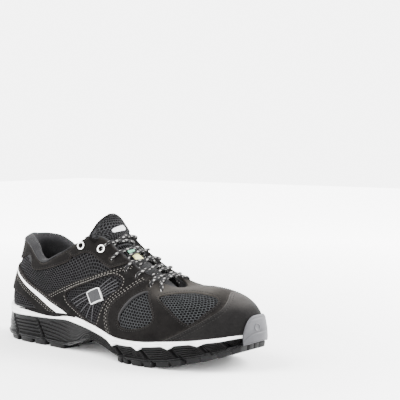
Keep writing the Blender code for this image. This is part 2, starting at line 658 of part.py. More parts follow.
def side_prism(name, outline, span, cutters):
    """Prism of a side-view outline (shares of length and collar height) between two y."""
    scaled = [(x * SOLE_LENGTH, z * COLLAR_HEIGHT) for x, z in outline]
    scaled = offset_outline(scaled, 0.75 * CLEARANCE)
    shape = bmesh.new()
    face = shape.faces.new([shape.verts.new((x, span[0], z)) for x, z in scaled])
    grown = bmesh.ops.extrude_face_region(shape, geom=[face])["geom"]
    moved = [item for item in grown if isinstance(item, bmesh.types.BMVert)]
    bmesh.ops.translate(shape, vec=(0, span[1] - span[0], 0), verts=moved)
    bmesh.ops.recalc_face_normals(shape, faces=shape.faces)
    mesh = bpy.data.meshes.new(name)
    shape.to_mesh(mesh)
    shape.free()
    return make_object(name, mesh, cutters)


LATERAL, MEDIAL, BOTH = (-0.2, 0.0), (0.0, 0.2), (-0.2, 0.2)


def overlay(name, upper, outline, span, parts, cutters, look, holes=()):
    """Skin piece cut by a side outline between two forms offset from the upper."""
    low = CLEARANCE
    mesh = shell_mesh(name, upper, low, low + OVERLAY_THICKNESS)
    piece = make_object(name, mesh, parts, look)
    boolean(piece, side_prism(name + "_outline", outline, span, cutters), "INTERSECT")
    for hole in holes:
        boolean(piece, side_prism(name + "_hole", hole, span, cutters), "DIFFERENCE")
    piece.data.materials.clear()
    piece.data.materials.append(bpy.data.materials[name])
    return piece


def build_overlays(parts, cutters, upper):
    """Nubuck pieces over the mesh, each the photograph's panel seen from the side."""
    overlay("toe_cap", upper, TOE_LINE + ((1.05, 0.10), (1.05, 0.80)), BOTH, parts, cutters, NUBUCK)
    vamp = TOE_LINE + VAMP_FOOT + RING_LINE + ((0.628, 0.75),)
    overlay("vamp_overlay", upper, vamp, BOTH, parts, cutters, NUBUCK, (RING_WINDOW, VAMP_WINDOW))
    quarter = SADDLE_LINE + RING_LINE[::-1] + QUARTER_FOOT + COUNTER_LINE[::-1][:3]
    for side, span in (("lateral", LATERAL), ("medial", MEDIAL)):
        overlay("quarter_overlay_" + side, upper, quarter, span, parts, cutters, NUBUCK,
                (QUARTER_WINDOW,))
        overlay("eyestay_" + side, upper, EYESTAY, span, parts, cutters, BROWN)
    overlay("heel_counter", upper, COUNTER_LINE + COUNTER_FOOT, BOTH, parts, cutters, NUBUCK)
    overlay("collar_band", upper, COLLAR_BAND, BOTH, parts, cutters, BROWN)


def build_upper(parts, upper):
    """The hollow upper, open at the collar, the throat and underneath."""
    mesh = shell_mesh("upper", upper, -UPPER_WALL, 0.0)
    return make_object("upper", mesh, parts, MESH)


def build_collar(parts, upper):
    """Padded roll over the topline with the quilted lining below it, inside the upper."""
    loops = []
    for row in np.arange(-COLLAR_END_ROW, COLLAR_END_ROW + 0.1, 1 / COLUMN_STEPS):
        loops.append(collar_section(upper, row))
    return make_object("collar_padding", loft_loops("collar_padding", loops), parts, LINING)


def collar_section(upper, row):
    """Closed section: top of the roll, down the outer side, and up the inner side."""
    height, width = ROLL_HEIGHT(abs(row)), ROLL_WIDTH(abs(row))
    edge = upper.point(row, 1.0)
    out = upper.normal(row, 1.0) * (1, 1, 0)
    out /= np.linalg.norm(out)
    rim = OVERLAY_THICKNESS
    back = UPPER_WALL + 1.5 * CLEARANCE

    def beside(away, rise):
        return edge + out * away + np.array([0, 0, rise])

    def inside(share, depth):
        return upper.offset(row, share, -depth)

    lift = 2 * CLEARANCE
    outer = [beside(rim - 0.35 * width, 0.82 * height + lift), beside(rim, 0.45 * height + lift),
             beside(rim, lift), beside(-back, lift), inside(0.93, back), inside(0.80, back),
             inside(0.62, back)]
    inner = [inside(0.62, back + 0.3 * COLLAR_PAD), inside(0.72, back + 0.6 * COLLAR_PAD),
             inside(0.83, back + 0.9 * COLLAR_PAD), inside(0.92, back + COLLAR_PAD),
             beside(-width, 0.0), beside(-0.93 * width, 0.5 * height + lift),
             beside(-0.7 * width, 0.9 * height + lift)]
    return np.array([beside(-0.50 * width, height + lift)] + outer + [inside(0.56, back + 0.0006)] + inner)


def build_tongue(parts):
    """Padded tongue, an arched slab along its own curve, with a rounded top."""
    rows = [(r.along * SOLE_LENGTH, r.up * INSTEP_HEIGHT, r.half * BALL_WIDTH / 2,
             r.arch * TONGUE_ARCH_RADIUS) for r in TONGUE]
    knots = np.linspace(0, 1, len(rows))
    curves = [fair_curve(knots, [row[k] for row in rows]) for k in range(4)]
    loops = []
    for share in np.linspace(0, 1, TONGUE_STEPS + 1):
        x, z, half, radius = (curve(share) for curve in curves)
        low, high = max(share - 0.01, 0), min(share + 0.01, 1)
        slope = np.array([curves[0](high) - curves[0](low), curves[1](high) - curves[1](low)])
        slope /= np.linalg.norm(slope)
        normal = np.array([slope[1], -slope[0]])
        if normal[1] < 0:
            normal = -normal
        loops.append(tongue_section(x, z, half, radius, normal, share))
    return make_object("tongue", loft_loops("tongue", loops), parts, MESH)


def tongue_section(x, z, half, radius, normal, share):
    """Arc across the tongue and back below it, thinner at the rim and the foot."""
    thickness = TONGUE_THICKNESS * (0.55 + 0.45 * min(1.0, share * 3))
    turn = half / radius
    points = []

    def at(angle, depth):
        drop = radius - (radius - depth) * math.cos(angle)
        across = TONGUE_SHIFT + (radius - depth) * math.sin(angle)
        return [x - normal[0] * drop, across, z - normal[1] * drop]

    angles = np.linspace(-turn, turn, TONGUE_COLUMNS + 1)
    points.append(at(-turn, thickness / 2))
    points += [at(angle, 0.0) for angle in angles[1:-1]]
    points.append(at(turn, thickness / 2))
    points += [at(angle, thickness) for angle in angles[-2:0:-1]]
    return np.array(points)


def tube(name, points, radius, collection, look=None):
    """Round tube along points, closed at its ends."""
    curve = bpy.data.curves.new(name, "CURVE")
    curve.dimensions = "3D"
    curve.bevel_depth = radius
    curve.bevel_resolution = 2
    curve.use_fill_caps = True
    spline = curve.splines.new("POLY")
    spline.points.add(len(points) - 1)
    for item, point in zip(spline.points, points):
        item.co = (*point, 1.0)
    holder = bpy.data.objects.new(name + "_curve", curve)
    bpy.context.scene.collection.objects.link(holder)
    graph = bpy.context.evaluated_depsgraph_get()
    mesh = bpy.data.meshes.new_from_object(holder.evaluated_get(graph))
    bpy.data.objects.remove(holder)
    shape = bmesh.new()
    shape.from_mesh(mesh)
    bmesh.ops.remove_doubles(shape, verts=shape.verts, dist=1e-6)
    shape.to_mesh(mesh)
    shape.free()
    return make_object(name, mesh, collection, look)


def build_laces(parts, cutters, upper):
    """Crossed strands of one lace, joined where they cross over the tongue."""
    places = {side: [eyelet_place(upper, eyelet, side) for eyelet in EYELETS[1:]]
              for side in ("lateral", "medial")}
    strands = [(places["lateral"][-1], places["medial"][-1], False)]
    for k in range(len(EYELETS) - 2):
        for near, far in (("lateral", "medial"), ("medial", "lateral")):
            strands.append((places[near][k + 1], places[far][k], k == 0))
    laces = None
    for start, end, beside_ring in strands:
        route = strand_route(upper, start, end, beside_ring)
        strand = tube("laces" if laces is None else "strand", route, LACE_DIAMETER / 2,
                      parts if laces is None else cutters, LACE if laces is None else None)
        if laces is None:
            laces = strand
        else:
            boolean(laces, strand, "UNION")
    laces.data.materials.clear()
    laces.data.materials.append(bpy.data.materials["laces"])


def strand_route(upper, start, end, beside_ring):
    """Points from one eyelet over the two edges of the throat to the eyelet across it."""
    lift = OVERLAY_THICKNESS + LACE_DIAMETER / 2 + LACE_LIFT

    def over_edge(near, far):
        row = 0.8 * near[0] + 0.2 * (upper.row_count - far[0])
        return upper.offset(row, 1.0, lift)

    first, last = upper.offset(*start, lift), upper.offset(*end, lift)
    rise, fall = over_edge(start, end), over_edge(end, start)
    if beside_ring:
        reach = EYELET_RADIUS + EYELET_WIRE + LACE_DIAMETER / 2 + 4 * CLEARANCE
        last = last + (fall - last) / np.linalg.norm(fall - last) * reach
    middle = (rise + fall) / 2 + np.array([LACE_ARCH_FORWARD, 0, LACE_ARCH])
    points = np.array([first, rise, middle, fall, last])
    knots = np.concatenate([[0], np.cumsum(np.linalg.norm(np.diff(points, axis=0), axis=1))])
    curves = [fair_curve(knots, points[:, k]) for k in range(3)]
    stops = [knots[0]]
    for low, high in zip(knots[:-1], knots[1:]):
        stops += list(np.linspace(low, high, LACE_STEPS // 2 if low >= knots[1] and high <= knots[3] else 2)[1:])
    return [[curve(at) for curve in curves] for at in stops]


def eyelet_place(upper, eyelet, side):
    """Row and share of an eyelet's centre on the upper."""
    along, up = getattr(eyelet, side), getattr(eyelet, side + "_up")
    return upper.locate(along * SOLE_LENGTH, up * INSTEP_HEIGHT, side)


def build_eyelets(parts, upper):
    """Rings of the two top eyelets of each side, lying on the eyestay."""
    for side in ("lateral", "medial"):
        for number, eyelet in enumerate(EYELETS[:2], start=1):
            row, share = eyelet_place(upper, eyelet, side)
            centre = upper.offset(row, share, OVERLAY_THICKNESS + EYELET_WIRE + 2 * CLEARANCE)
            normal = Vector(upper.normal(row, share))
            name = f"eyelet_{side}_{number}"
            bpy.ops.mesh.primitive_torus_add(major_radius=EYELET_RADIUS, minor_radius=EYELET_WIRE,
                                             major_segments=12, minor_segments=5)
            ring = bpy.context.object
            ring.data.transform(Matrix.Translation(centre) @ normal.to_track_quat("Z", "Y").to_matrix().to_4x4())
            mesh = ring.data
            bpy.data.objects.remove(ring)
            make_object(name, mesh, parts, RING)


def place_at_origin(parts):
    """Move every piece so that the shoe's box stands on the floor with its middle at the origin."""
    bpy.context.view_layer.update()
    corners = np.array([thing.matrix_world @ vertex.co for thing in parts.objects
                        for vertex in thing.data.vertices])
    low, high = corners.min(axis=0), corners.max(axis=0)
    shift = Vector((-(low[0] + high[0]) / 2, -(low[1] + high[1]) / 2, -low[2]))
    for thing in parts.objects:
        thing.data.transform(Matrix.Translation(shift))


def main():
    for thing in list(bpy.data.objects):
        bpy.data.objects.remove(thing)
    parts = make_collection("safety_sneaker")
    cutters = make_collection("cutters", hidden=True)
    upper = Upper()
    build_sole(parts, cutters)
    build_upper(parts, upper)
    build_overlays(parts, cutters, upper)
    build_collar(parts, upper)
    build_tongue(parts)
    build_laces(parts, cutters, upper)
    build_eyelets(parts, upper)
    place_at_origin(parts)


main()
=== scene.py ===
# Safety sneaker, right shoe: the looks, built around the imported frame.
# Lengths are in metres. +X is the toe, +Y the inner side of the foot, +Z up.
import math

import bmesh
import bpy
import numpy as np
from mathutils import Matrix, Vector
from mathutils.geometry import delaunay_2d_cdt


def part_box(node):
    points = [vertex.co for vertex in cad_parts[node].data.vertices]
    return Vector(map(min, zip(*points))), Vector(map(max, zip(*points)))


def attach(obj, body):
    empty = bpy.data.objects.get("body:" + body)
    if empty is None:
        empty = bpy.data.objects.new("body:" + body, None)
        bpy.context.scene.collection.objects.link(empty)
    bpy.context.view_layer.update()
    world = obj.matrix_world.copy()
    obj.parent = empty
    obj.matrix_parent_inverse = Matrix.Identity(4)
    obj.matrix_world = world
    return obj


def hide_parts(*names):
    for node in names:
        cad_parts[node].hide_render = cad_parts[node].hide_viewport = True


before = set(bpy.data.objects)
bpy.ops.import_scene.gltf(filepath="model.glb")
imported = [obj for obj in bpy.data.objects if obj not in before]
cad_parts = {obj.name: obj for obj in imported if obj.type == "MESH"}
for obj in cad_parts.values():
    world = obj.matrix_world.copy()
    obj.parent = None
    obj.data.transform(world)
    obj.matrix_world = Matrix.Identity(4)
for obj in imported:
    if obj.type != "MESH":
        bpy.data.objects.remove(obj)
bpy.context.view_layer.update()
mm = 0.001

shoe = {
    "length": 0.305, "ballWidth": 0.111, "soleHeight": 0.034, "collarHeight": 0.1075,
    "instepHeight": 0.109, "toeHeight": 0.0665, "toeSpring": 0.022, "archRise": 0.012,
    "gap": 0.0003, "wall": 0.0024, "panel": 0.0013, "featherInset": 0.003,
    "heelFlare": 0.005, "heelFlareLength": 0.050, "toeRoom": 0.0029, "toeRoomStart": 0.930,
    "toeRoomEnd": 0.968, "toeOffset": 0.015,
}
length = shoe["length"]
halfWidth = shoe["ballWidth"] / 2
sides = {"lateral": -1, "medial": 1}     # the sign of y on the outer and the inner side


# Camera, light and floor

studio = {
    "target": (150, 0, 45), "azimuth": 42.16, "elevation": 8.95, "distance": 1000,   # degrees and mm
    "focal": 1048.88, "targetPixel": (127.39, 302.13), "lensRow": 295, "pictureSize": 400,
    # name, place, size and power
    "lamps": (("key", (-0.35, -0.75, 1.05), 0.9, 60.0), ("rim", (0.75, 0.65, 0.75), 0.7, 70.0),
        ("fill", (0.95, -0.60, 0.40), 0.8, 8.0)),
    "world": 6.0, "ceiling": 0.12, "floorGlow": (0.0, 5.9), "glowFrom": 0.22, "glowTo": 1.10,
}


def newObject(name, data):
    thing = bpy.data.objects.new(name, data)
    bpy.context.scene.collection.objects.link(thing)
    return thing


def makeCamera(origin):
    data = bpy.data.cameras.new("camera")
    data.sensor_width = 36
    data.lens = studio["focal"] / studio["pictureSize"] * 36
    data.clip_start, data.clip_end = 0.01, 20
    # the lens looks past the shoe, so that the shoe lies low in the frame as photographed
    half = studio["pictureSize"] / 2
    data.shift_y = (studio["lensRow"] - half) / studio["pictureSize"]
    azimuth, elevation = math.radians(studio["azimuth"]), math.radians(studio["elevation"])
    back = Vector((math.sin(azimuth) * math.cos(elevation), -math.cos(azimuth) * math.cos(elevation),
            math.sin(elevation)))
    place = Vector(studio["target"]) * mm + origin + back * studio["distance"] * mm
    turned = aimAt(-back, (studio["targetPixel"][0] - half) / studio["focal"],
            (studio["lensRow"] - studio["targetPixel"][1]) / studio["focal"])
    camera = newObject("camera", data)
    camera.matrix_world = Matrix.Translation(place) @ turned.to_4x4()
    bpy.context.scene.camera = camera


def aimAt(look, across, up):
    # Camera axes for which the direction look appears at (across, up) on a plane one unit away.
    azimuth = math.atan2(look.y, look.x)
    elevation = math.asin(look.z)
    for _ in range(30):
        forward = Vector((math.cos(azimuth) * math.cos(elevation), math.sin(azimuth) * math.cos(elevation),
                math.sin(elevation)))
        right = Vector((math.sin(azimuth), -math.cos(azimuth), 0))
        top = right.cross(forward)
        seenAcross, seenUp = look.dot(right) / look.dot(forward), look.dot(top) / look.dot(forward)
        azimuth += across - seenAcross
        elevation -= up - seenUp
    return Matrix((right, top, -forward)).transposed()


def makeStudio():
    world = bpy.data.worlds.new("studio")
    world.use_nodes = True
    tree = world.node_tree
    # white backdrop all round, darker ceiling above it
    height = addNode(tree, "ShaderNodeSeparateXYZ",
            {"Vector": addNode(tree, "ShaderNodeTexCoord").outputs["Generated"]}).outputs["Z"]
    setSockets(tree, tree.nodes["Background"], Color=(1, 1, 1), Strength=mapRange(
        tree, height, 0.42, 0.75, studio["world"], studio["world"] * studio["ceiling"]))
    bpy.context.scene.world = world
    for name, place, size, power in studio["lamps"]:
        lamp = bpy.data.lights.new(name, "AREA")
        lamp.size, lamp.energy = size, power
        light = newObject(name, lamp)
        light.location = place
        light.rotation_euler = (Vector((0, 0, 0.04)) - Vector(place)).to_track_quat("-Z", "Y").to_euler()
    bpy.ops.mesh.primitive_plane_add(size=6.0, location=(0, 0, -0.0002))
    floor = bpy.context.object
    floor.name = "floor"
    paper, tree, shader, where = nodeMaterial("floorPaper")
    # paper lit brighter away from the shoe, so that it meets the backdrop without an edge
    away = addNode(tree, "ShaderNodeVectorMath", {0: where}, operation="LENGTH").outputs["Value"]
    setSockets(tree, shader, Base_Color=(0.76, 0.76, 0.76), Roughness=0.8, Specular_IOR_Level=0.1,
            Emission_Color=(1.0, 1.0, 1.0),
            Emission_Strength=mapRange(tree, away, studio["glowFrom"], studio["glowTo"],
            *studio["floorGlow"]))
    floor.data.materials.append(paper)


# Materials

def nodeMaterial(name):
    material = bpy.data.materials.new(name)
    material.use_nodes = True
    tree = material.node_tree
    where = addNode(tree, "ShaderNodeTexCoord").outputs["Object"]
    return material, tree, tree.nodes["Principled BSDF"], where


def feed(tree, socket, value):
    # The value of a socket, or the output that is linked to it.
    if isinstance(value, bpy.types.NodeSocket):
        tree.links.new(value, socket)
    else:
        socket.default_value = (*value, 1.0) if socket.type == "RGBA" else value


def setSockets(tree, node, **values):
    for name, value in values.items():
        feed(tree, node.inputs[name.replace("_", " ")], value)


def addNode(tree, kind, inputs=None, **properties):
    # A node with its properties, and its inputs by name or number.
    node = tree.nodes.new(kind)
    for key, value in properties.items():
        setattr(node, key, value)
    for key, value in (inputs or {}).items():
        feed(tree, node.inputs[key], value)
    return node


def noise(tree, vector, scale, detail, roughness):
    return addNode(tree, "ShaderNodeTexNoise", {"Vector": vector, "Scale": scale, "Detail": detail,
            "Roughness": roughness}).outputs["Fac"]


def meshValue(tree, name):
    return addNode(tree, "ShaderNodeAttribute", attribute_name=name).outputs["Fac"]


def colourRamp(tree, factor, *stops):
    node = addNode(tree, "ShaderNodeValToRGB", {"Fac": factor})
    for element, (place, colour) in zip(node.color_ramp.elements, stops):
        element.position, element.color = place, (*colour, 1.0)
    return node.outputs["Color"]


def mapRange(tree, value, low, high, toLow, toHigh):
    return addNode(tree, "ShaderNodeMapRange", {"Value": value, "From Min": low, "From Max": high,
            "To Min": toLow, "To Max": toHigh}).outputs["Result"]


def mathNode(tree, operation, first, second):
    return addNode(tree, "ShaderNodeMath", {0: first, 1: second}, operation=operation).outputs[0]


def weighed(tree, first, firstWeight, second, secondWeight):
    return mathNode(tree, "ADD", mathNode(tree, "MULTIPLY", first, firstWeight),
            mathNode(tree, "MULTIPLY", second, secondWeight))


def mixColour(tree, factor, first, second):
    return addNode(tree, "ShaderNodeMix", {0: factor, 6: first, 7: second}, data_type="RGBA").outputs[2]


def addBumps(tree, shader, *bumps):
    # One bump over the other; each has its height, strength and distance.
    normal = None
    for height, strength, distance in bumps:
        inputs = {"Height": height, "Strength": strength, "Distance": distance}
        if normal is not None:
            inputs["Normal"] = normal
        normal = addNode(tree, "ShaderNodeBump", inputs).outputs["Normal"]
    tree.links.new(normal, shader.inputs["Normal"])


nubuck = {"dark": (0.0013, 0.0012, 0.0012), "light": (0.0033, 0.0030, 0.0029), "nap": 2600, "streak": 420,
        "cloud": 55, "sheen": 0.010}


def nubuckMaterial(name, dark, light, wearAndPaintedHighlight, gloss=0.04):
    # Short nap: fine bump, cloudy brushed tone, a soft sheen, and a paler colour where the mesh's mask says:
    # scuffed raw edges, and a painted highlight on the lit crown of the toe and vamp.
    material, tree, shader, where = nodeMaterial(name)
    cloud = noise(tree, where, nubuck["cloud"], 5.0, 0.6)
    streak = noise(tree, where, nubuck["streak"], 3.0, 0.6)
    nap = noise(tree, where, nubuck["nap"], 2.0, 0.6)
    colour = colourRamp(tree, weighed(tree, cloud, 0.65, streak, 0.35), (0.34, dark), (0.66, light))
    colour = mixColour(tree, mapRange(tree, nap, 0.45, 0.75, 0.0, 0.22), colour,
            tuple(c * 2.2 + 0.001 for c in light))
    # the mask: paler scuffed edges and painted highlight, broken up by the cloud
    wearAndHighlightAmount = mathNode(tree, "MULTIPLY", meshValue(tree, "wearAndPaintedHighlight"), mapRange(tree, cloud, 0.3, 0.7, 0.65, 1.0))
    setSockets(tree, shader, Base_Color=mixColour(tree, wearAndHighlightAmount, colour, wearAndPaintedHighlight),
            Roughness=mapRange(tree, cloud, 0.3, 0.7, 0.94, 0.80), Sheen_Weight=nubuck["sheen"],
            Sheen_Roughness=0.45, Sheen_Tint=(0.75, 0.70, 0.68), Specular_IOR_Level=gloss)
    addBumps(tree, shader, (nap, 0.35, 0.00022), (streak, 0.28, 0.0006))
    return material


def meshMaterial():
    # Yarn on the bars and painted shade in the pits, black by the depth that the mesh carries; grey or black
    # yarn.
    material, tree, shader, where = nodeMaterial("airMesh")
    fibre = noise(tree, where, 1500.0, 3.0, 0.65)
    cloud = noise(tree, where, 160.0, 2.0, 0.5)
    black = colourRamp(tree, fibre, (0.30, (0.0050, 0.0050, 0.0053)), (0.72, (0.0210, 0.0208, 0.0218)))
    grey = colourRamp(tree, fibre, (0.28, (0.0075, 0.0081, 0.0084)), (0.74, (0.032, 0.0338, 0.035)))
    yarn = mixColour(tree, meshValue(tree, "zone"), black, grey)
    yarn = mixColour(tree, mapRange(tree, cloud, 0.35, 0.65, 0.0, 0.30), yarn, (0.0040, 0.0040, 0.0043))
    # painted shade: the deeper a point down its hole, the blacker; the same value also darkens the yarn in
    # the quarter windows
    paintedPitShade = mapRange(tree, meshValue(tree, "depth"), 0.16, 0.50, 0.0, 1.0)
    setSockets(tree, shader, Base_Color=mixColour(tree, paintedPitShade, yarn, (0.0004, 0.0004, 0.0005)), Roughness=0.82,
            Sheen_Weight=0.01, Specular_IOR_Level=0.08)
    addBumps(tree, shader, (fibre, 0.5, 0.0003))
    return material


def knitMaterial(name, dark, light, pitch=900.0):
    # Ribbed lining knit: fine diagonal wales, cloudy wear and a soft sheen.
    material, tree, shader, where = nodeMaterial(name)
    turned = addNode(tree, "ShaderNodeMapping", {"Vector": where, "Rotation": (0.3, 0.5, 0.8)})
    turned = turned.outputs["Vector"]
    wales = addNode(tree, "ShaderNodeTexWave", {"Vector": turned, "Scale": pitch, "Distortion": 1.2,
            "Detail": 1.0, "Detail Scale": 2.0}).outputs["Fac"]
    fuzz = noise(tree, where, 1900.0, 3.0, 0.6)
    cloud = noise(tree, where, 70.0, 3.0, 0.6)
    colour = colourRamp(tree, weighed(tree, wales, 0.4, fuzz, 0.6), (0.25, dark), (0.75, light))
    setSockets(tree, shader, Roughness=0.9, Sheen_Weight=0.04, Sheen_Roughness=0.5, Specular_IOR_Level=0.06,
            Base_Color=mixColour(tree, mapRange(tree, cloud, 0.35, 0.7, 0.0, 0.3), colour, dark))
    addBumps(tree, shader, (wales, 0.35, 0.0004), (fuzz, 0.4, 0.0003))
    return material


def rubberMaterial(name, dark, light, roughness=0.5, coat=0.0, gloss=0.12):
    # Moulded rubber: a fine tooth and a faint bloom.
    material, tree, shader, where = nodeMaterial(name)
    bloom = noise(tree, where, 38.0, 5.0, 0.62)
    setSockets(tree, shader, Base_Color=colourRamp(tree, bloom, (0.32, dark), (0.68, light)),
            Roughness=mapRange(tree, bloom, 0.3, 0.7, roughness - 0.08, roughness + 0.10),
            Specular_IOR_Level=gloss, Coat_Weight=coat, Coat_Roughness=0.35)
    addBumps(tree, shader, (noise(tree, where, 1300.0, 2.0, 0.5), 0.16, 0.00015))
    return material


def threadMaterial(name, dark, light):
    material, tree, shader, where = nodeMaterial(name)
    twist = noise(tree, where, 2200.0, 2.0, 0.6)
    setSockets(tree, shader, Base_Color=colourRamp(tree, twist, (0.3, dark), (0.7, light)), Roughness=0.70,
            Sheen_Weight=0.01, Specular_IOR_Level=0.10)
    addBumps(tree, shader, (twist, 0.4, 0.0002))
    return material


def laceMaterial():
    # Braid in the lace's own coordinates: u round it, v in millimetres along it; white flecks in black.
    material, tree, shader, where = nodeMaterial("laceBraid")
    uv = addNode(tree, "ShaderNodeUVMap", uv_map="braid").outputs["UV"]
    around, along = addNode(tree, "ShaderNodeSeparateXYZ", {"Vector": uv}).outputs[:2]
    first = mathNode(tree, "PINGPONG", weighed(tree, around, 2.0, along, 0.09), 0.5)
    second = mathNode(tree, "PINGPONG", weighed(tree, around, 2.0, along, -0.17), 0.5)
    block = mathNode(tree, "MULTIPLY", mapRange(tree, first, 0.25, 0.31, 0.0, 1.0),
            mapRange(tree, second, 0.24, 0.31, 0.0, 1.0))
    fibre = noise(tree, where, 1700.0, 2.0, 0.6)
    black = colourRamp(tree, fibre, (0.3, (0.0025, 0.0025, 0.0027)), (0.7, (0.009, 0.0088, 0.009)))
    white = colourRamp(tree, fibre, (0.3, (0.070, 0.069, 0.066)), (0.7, (0.23, 0.226, 0.22)))
    setSockets(tree, shader, Base_Color=mixColour(tree, block, black, white), Roughness=0.75,
            Sheen_Weight=0.01, Specular_IOR_Level=0.08)
    addBumps(tree, shader, (mathNode(tree, "ADD", first, second), 0.5, 0.0006), (fibre, 0.35, 0.0002))
    return material


# The last: the same tables as the solids, in shares of the sizes above

sole = {
    # along, lateral, medial: half widths as shares of the ball width
    "plan": ((0.016, 0.162, 0.162), (0.049, 0.261, 0.261), (0.098, 0.326, 0.324), (0.180, 0.356, 0.338),
        (0.295, 0.369, 0.311), (0.426, 0.401, 0.324), (0.541, 0.459, 0.396), (0.639, 0.500, 0.450),
        (0.721, 0.500, 0.459), (0.803, 0.459, 0.432), (0.869, 0.387, 0.378), (0.934, 0.290, 0.290),
        (0.977, 0.160, 0.182)),
    # along, arch, spring, outsole top, stripe foot, feather line
    "side": ((0.000, 0.42, 0.00, 0.240, 0.860, 1.130), (0.026, 0.08, 0.00, 0.250, 0.820, 1.075),
        (0.059, 0.00, 0.00, 0.250, 0.785, 1.030), (0.131, 0.00, 0.00, 0.240, 0.790, 1.000),
        (0.290, 0.00, 0.00, 0.220, 0.820, 0.985), (0.354, 0.00, 0.00, 0.210, 0.850, 1.010),
        (0.405, 0.40, 0.00, 0.320, 0.800, 0.975), (0.469, 1.00, 0.00, 0.480, 0.720, 0.890),
        (0.530, 0.72, 0.00, 0.400, 0.620, 0.785), (0.580, 0.26, 0.00, 0.280, 0.510, 0.675),
        (0.625, 0.00, 0.00, 0.210, 0.490, 0.645), (0.705, 0.00, 0.00, 0.210, 0.530, 0.665),
        (0.770, 0.00, 0.08, 0.260, 0.600, 0.730), (0.850, 0.00, 0.30, 0.390, 0.700, 0.800),
        (0.920, 0.00, 0.56, 0.550, 0.790, 0.885), (0.970, 0.00, 0.80, 0.700, 0.860, 0.945),
        (1.000, 0.00, 1.00, 0.800, 0.890, 0.970)),
}
last = {
    # foot, edge, lateral edge, medial edge, height it follows, up, rise out and up, fall out and down
    "rows": ((0.000, 0.067, 0.000, 0.000, "collarHeight", 0.907, 0.020, 0.185, 0.055, 0.205),
        (0.040, 0.088, 0.252, 0.252, "collarHeight", 0.905, 0.025, 0.180, 0.070, 0.205),
        (0.112, 0.136, 0.414, 0.414, "collarHeight", 0.887, 0.035, 0.175, 0.085, 0.200),
        (0.168, 0.177, 0.505, 0.505, "collarHeight", 0.823, 0.040, 0.165, 0.080, 0.165),
        (0.228, 0.220, 0.558, 0.558, "collarHeight", 0.740, 0.040, 0.150, 0.075, 0.130),
        (0.300, 0.276, 0.558, 0.558, "collarHeight", 0.790, 0.040, 0.155, 0.090, 0.165),
        (0.366, 0.336, 0.522, 0.522, "collarHeight", 0.879, 0.040, 0.165, 0.110, 0.215),
        (0.420, 0.387, 0.468, 0.430, "collarHeight", 0.967, 0.040, 0.175, 0.125, 0.250),
        (0.460, 0.422, 0.405, 0.310, "instepHeight", 0.995, 0.040, 0.180, 0.160, 0.230),
        (0.500, 0.462, 0.360, 0.270, "instepHeight", 0.972, 0.040, 0.180, 0.180, 0.200),
        (0.545, 0.497, 0.333, 0.265, "instepHeight", 0.904, 0.040, 0.175, 0.200, 0.160),
        (0.600, 0.544, 0.324, 0.275, "instepHeight", 0.816, 0.040, 0.165, 0.230, 0.110),
        (0.660, 0.597, 0.315, 0.315, "instepHeight", 0.725, 0.045, 0.160, 0.280, 0.070),
        (0.730, 0.652, 0.288, 0.288, "toeHeight", 1.075, 0.050, 0.270, 0.360, 0.070),
        (0.810, 0.692, 0.234, 0.234, "toeHeight", 1.007, 0.060, 0.290, 0.500, 0.020),
        (0.895, 0.711, 0.150, 0.150, "toeHeight", 0.977, 0.055, 0.310, 0.740, -0.060),
        (0.965, 0.718, 0.075, 0.075, "toeHeight", 0.970, 0.055, 0.335, 0.930, -0.105),
        (1.000, 0.720, 0.000, 0.000, "toeHeight", 0.967, 0.055, 0.350, 1.120, -0.135)),
    "rowCount": 34,
}


def unit(vectors):
    return vectors / np.maximum(np.linalg.norm(vectors, axis=-1, keepdims=True), 1e-9)


def runAlong(points):
    # Length along a line at each of its points.
    return np.concatenate([[0], np.cumsum(np.linalg.norm(np.diff(points, axis=0), axis=1))])


def circle(count):
    return np.linspace(0, 2 * math.pi, count, endpoint=False)


def cubic(t, width, start, end, startSlope, endSlope):
    # Cubic between two values with their slopes, at the share t of the width between them.
    return ((1 + 2 * t) * (1 - t) ** 2 * start + t * (1 - t) ** 2 * width * startSlope
            + (t * t * (3 - 2 * t) * end + t * t * (t - 1) * width * endSlope))


def fairCurve(knots, values):
    # Monotone cubic through the values; takes one place or an array of them.
    knots, values = np.array(knots, float), np.array(values, float)
    step = np.diff(knots)
    rise = np.diff(values) / step
    slope = np.zeros(len(values))
    slope[0], slope[-1] = rise[0], rise[-1]
    for i in range(1, len(values) - 1):
        if rise[i - 1] * rise[i] > 0:
            slope[i] = 2 * rise[i - 1] * rise[i] / (rise[i - 1] + rise[i])

    def at(where):
        i = np.clip(np.searchsorted(knots, where) - 1, 0, len(step) - 1)
        return cubic((where - knots[i]) / step[i], step[i], values[i], values[i + 1], slope[i], slope[i + 1])

    return at


def smoothStep(low, high, value):
    share = np.clip((np.asarray(value, float) - low) / (high - low), 0, 1)
    return share * share * (3 - 2 * share)


class ClosedCurve:
    # Periodic cubic through rows of points, spaced by the length of their first columns.

    def __init__(self, points, measured):
        self.points = np.array(points, float)
        ahead = np.roll(self.points, -1, axis=0)
        self.gap = np.linalg.norm((ahead - self.points)[:, :measured], axis=1)
        self.count = len(self.gap)
        matrix = np.zeros((self.count, self.count))
        target = np.zeros(self.points.shape)
        for i in range(self.count):
            before, after = self.gap[i - 1], self.gap[i]
            matrix[i, i - 1], matrix[i, i] = after, 2 * (before + after)
            matrix[i, (i + 1) % self.count] = before
            back = after / before * (self.points[i] - self.points[i - 1])
            target[i] = 3 * (back + before / after * (ahead[i] - self.points[i]))
        self.tangents = np.linalg.solve(matrix, target)

    def at(self, rows):
        whole = np.floor(rows)
        i = whole.astype(int) % self.count
        j = (i + 1) % self.count
        return cubic((rows - whole)[:, None], self.gap[i][:, None], self.points[i], self.points[j],
                self.tangents[i], self.tangents[j])


sideCurves = {name: fairCurve([row[0] for row in sole["side"]], [row[k] for row in sole["side"]])
        for k, name in enumerate(("along", "arch", "spring", "outsole", "stripe", "feather")) if k}


